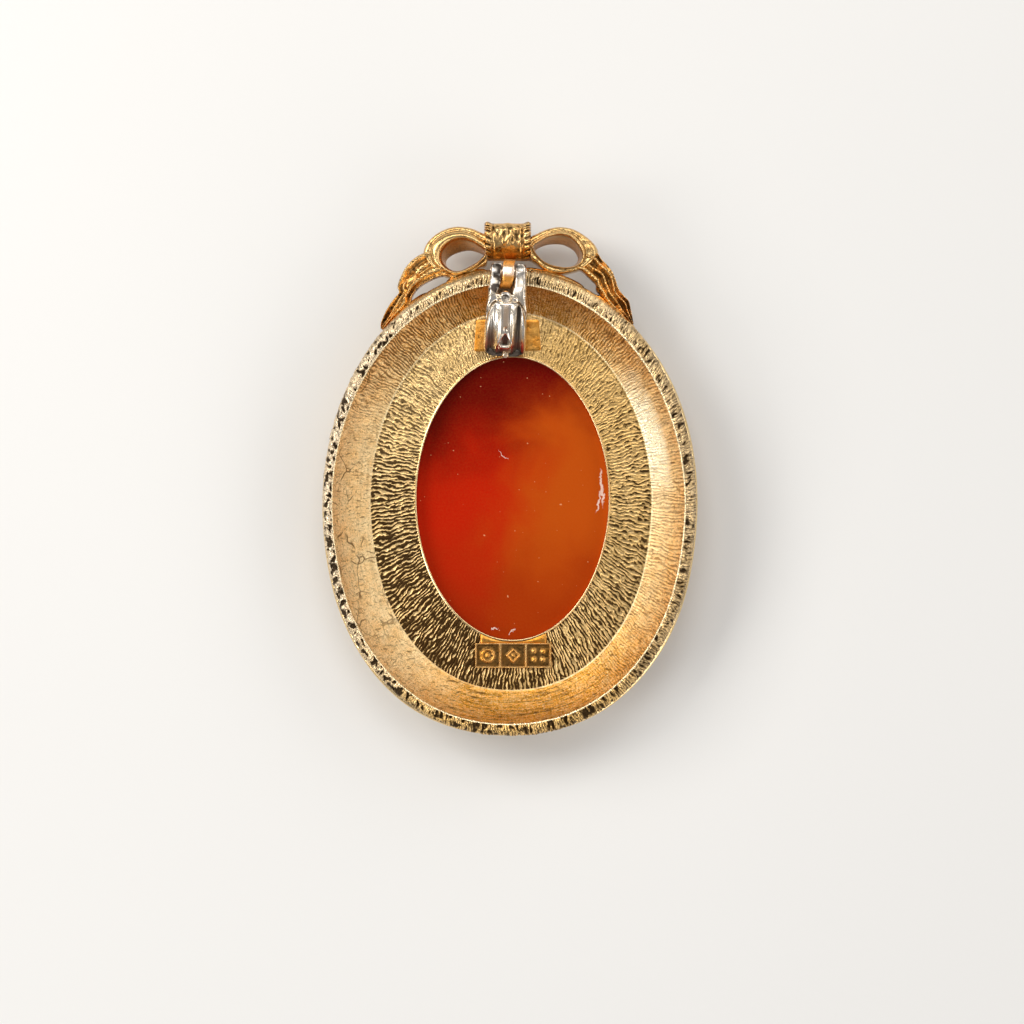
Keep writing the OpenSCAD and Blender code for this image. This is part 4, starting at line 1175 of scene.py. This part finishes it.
def make_stamp_plate():
    """The small framed plate, with plain devices in its three fields."""
    nx, ny = 200, 74
    w, h = 7.8, 2.65
    cx, cy = pixel(513.2, 656.0)
    x = np.linspace(-w / 2, w / 2, nx)[:, None] + np.zeros((1, ny))
    y = np.linspace(-h / 2, h / 2, ny)[None, :] + np.zeros((nx, 1))
    ends, sides = step(np.abs(x), w / 2 - 0.30, w / 2 - 0.22), step(np.abs(y), h / 2 - 0.28, h / 2 - 0.20)
    walls = np.maximum(*(bell((x - at) / 0.13, 4) for at in (-1.28, 1.28)))
    base = np.maximum(np.maximum(ends, sides), walls)
    d = np.hypot(x + 2.55, y * 1.05)
    device = bell((d - 0.62) / 0.14) + bell(d / 0.22)
    device += bell((np.abs(x) + np.abs(y) - 0.62) / 0.15) * (np.abs(x) < 0.9)
    device += np.exp(-((x**2 + y**2) / 0.03))
    for sx in (-1, 1):
        for sy in (-1, 1):
            device += np.exp(-(((x - 2.55 - sx * 0.45) ** 2 + (y - sy * 0.42) ** 2) / 0.055))
    device = np.clip(device, 0, 1)
    fine = noise(np.stack([x * 3, y * 3, 0 * x], -1) + 5)
    z = 0.10 + 0.20 * base + 0.15 * device * (1 - base) + 0.03 * fine
    edge = np.minimum(step(w / 2 - np.abs(x), 0, 0.10), step(h / 2 - np.abs(y), 0, 0.10))
    p = np.stack([cx + x, cy + y, PLATE - 0.3 + (z + 0.3) * edge], -1)
    pit = np.clip((1 - base) * (1 - device) * 0.85, 0, 1) * edge
    skin("small_plate", p, CAST, pit, 0.3 + 0.5 * (1 - base))


def make_strip():
    """A smooth strip between the small plate and the stone."""
    n, m = 60, 12
    x = np.linspace(-3.35, 3.5, n) + 0.3
    top = STONE[1] - (HOLE_B + 0.22) * np.sqrt(1 - ((x - STONE[0]) / (HOLE_A + 0.22)) ** 2) + UP
    low = np.minimum(pixel(0, 643.5)[1], top - 0.05)
    t = np.linspace(0, 1, m)[None, :]
    s = np.linspace(0, 1, n)
    edge = np.minimum(step(s, 0, 0.04), 1 - step(s, 0.96, 1))[:, None]
    p = np.zeros((n, m, 3))
    p[..., 0] = x[:, None]
    p[..., 1] = top[:, None] + (low - top)[:, None] * t
    p[..., 2] = PLATE - 0.1 + (0.22 + 0.06 * np.sin(math.pi * t)) * edge
    grid("strip", p, [WARM])


def make_landing():
    """The smooth pad under the bail, with softened corners and a rounded upper edge."""
    corners = np.array([pixel(474, 351), pixel(541, 350), pixel(539, 319), pixel(476, 319)])
    along = np.linspace(0.04, 0.96, 12)[:, None]
    sides = [a + (b - a) * along for a, b in zip(corners, np.roll(corners, -1, 0))]
    outline = curve(np.concatenate(sides), 120, True)
    mid = outline.mean(0)
    size = np.abs(outline - mid).max()
    low, high, bevel = PLATE - 0.2, PLATE + 0.10, 0.06
    # Each row of points as (how far in, height)
    rows = [(0.0, low)]
    for t in np.linspace(0, math.pi / 2, 4):
        rows.append((bevel * (1 - math.cos(t)), high - bevel * (1 - math.sin(t))))
    for t in np.linspace(0.15, 0.999, 12):
        rows.append((bevel + (size - bevel) * t, high))
    p = np.zeros((len(outline), len(rows), 3))
    for i, (d, z) in enumerate(rows):
        p[:, i, :2] = mid + (outline - mid) * (1 - d / size)
        p[:, i, 2] = z
    p[..., 2] += 0.03 * noise(p * 1.5) * (np.arange(len(rows)) > 4)[None, :]
    grid("landing", p, [WARM], wrap_u=True)


# The pieces

make_rim()
make_lip()
dish = make_dish()
make_loop("bow_loop_left", LOOP_LEFT)
make_loop("bow_loop_right", LOOP_RIGHT)
make_tail("bow_tail_left", TAIL_LEFT, FOLDS_LEFT, 0)
make_tail("bow_tail_right", TAIL_RIGHT, FOLDS_RIGHT, 3)
make_knot()
make_solder("solder_left", 97, 110, 0.42, 5.75)
make_solder("solder_right", 66, 86, 0.42, 5.75)
make_solder("solder_tail_left", 116, 131, 0.36, 5.6)
make_solder("solder_tail_right", 47, 63, 0.36, 5.6)
make_curl()
make_lug()
arm = make_arm("bail_arm_left", -1)
make_arm("bail_arm_right", 1)
make_strap()
gate = make_gate()
lathe("gate_knuckle", ball_rows(0.62, 28, 0.40), (-0.17, 2.07, 1.80), "v", pit=ball_pit(28, 0.40))
neck = [(0.0, 1.15), (0.36, 1.13), (0.44, 1.05), (0.44, 0.55), (0.38, 0.48)]
neck = [(r, -x) for r, x in neck] + neck[::-1]
lathe("gate_neck", neck, (0.0, 2.44, 1.30), "x")
lathe("gate_tip", ball_rows(0.38, 16, 0.14), (0.12, 8.60, 0.52), "v", warm=1.0)
make_stamp_plate()
make_strip()
make_landing()

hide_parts("setting")
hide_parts("bail_gate")
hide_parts("bail")

own = {"cameo_ground": stone_back(), "cameo_relief": white_layer(), "bail": SILVER, "bail_pin": SILVER,
    "gate_pin": SILVER}
for name, material in own.items():
    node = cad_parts[name]
    if not node.material_slots:
        node.data.materials.append(None)
    for place in node.material_slots:
        place.material = material
    for poly in node.data.polygons:
        poly.use_smooth = True


# Floor, light and camera

def make_floor():
    """A plain pale floor, three metres wide."""
    k = Nodes("floor_paint")
    at = k.place()
    tone = k.span(k.noise(at, 0.004, 2.0), 0.3, 0.7)
    colour = k.mix(tone, (0.72, 0.71, 0.69, 1), (0.76, 0.75, 0.73, 1))
    k.surface(Base_Color=colour, Roughness=0.75, Normal=k.bump(k.noise(at, 0.8, 2.0), 0.02, 0.1))
    mesh = bpy.data.meshes.new("floor")
    mesh.from_pydata([(-1.5, -1.5, 0), (1.5, -1.5, 0), (1.5, 1.5, 0), (-1.5, 1.5, 0)], [], [(0, 1, 2, 3)])
    mesh.materials.append(k.material)
    floor = bpy.data.objects.new("floor", mesh)
    bpy.context.scene.collection.objects.link(floor)


def area_light(name, azimuth, elevation, distance, size, power, colour):
    """A soft square lamp that looks at the middle, its distance and size in metres."""
    light = bpy.data.lights.new(name, "AREA")
    light.shape = "SQUARE"
    light.size = size
    light.energy = power
    light.color = colour
    obj = bpy.data.objects.new(name, light)
    a, e = math.radians(azimuth), math.radians(elevation)
    d = np.array([math.cos(a) * math.cos(e), math.sin(a) * math.cos(e), math.sin(e)])
    obj.location = d * distance
    obj.rotation_euler = Vector(d).to_track_quat("Z", "Y").to_euler()
    bpy.context.scene.collection.objects.link(obj)


make_floor()
area_light("key", 152, 40, 0.45, 0.22, 1.10, (1.0, 0.98, 0.94))
area_light("top", 95, 62, 0.25, 0.12, 0.17, (1.0, 0.98, 0.95))
area_light("low_left", 205, 30, 0.40, 0.14, 0.45, (1.0, 0.98, 0.94))
area_light("right", 5, 35, 0.50, 0.25, 0.32, (1.0, 0.98, 0.96))
area_light("low_right", -48, 20, 0.50, 0.34, 0.80, (1.0, 0.97, 0.93))
area_light("up_right", 45, 26, 0.50, 0.30, 0.52, (1.0, 0.98, 0.95))

world = bpy.data.worlds.new("studio")
bpy.context.scene.world = world
world.use_nodes = True
back = world.node_tree.nodes["Background"]
back.inputs[0].default_value = (0.95, 0.96, 1.0, 1)
back.inputs[1].default_value = 0.33

# The camera looks straight down on the back, from this far, on a field this wide
SENSOR, DISTANCE, FIELD, FOCUS = 36, 420, 102.4, 5.5
camera_data = bpy.data.cameras.new("camera")
camera_data.sensor_width = SENSOR
camera_data.lens = SENSOR * DISTANCE / FIELD
camera_data.clip_start = 0.01
camera_data.clip_end = 10
camera = bpy.data.objects.new("camera", camera_data)
camera.location = (0.25 * MM, (-1.0 + UP) * MM, (DISTANCE + FOCUS) * MM)
bpy.context.scene.collection.objects.link(camera)
bpy.context.scene.camera = camera
bpy.context.scene.view_settings.view_transform = "Standard"

bpy.context.view_layer.update()
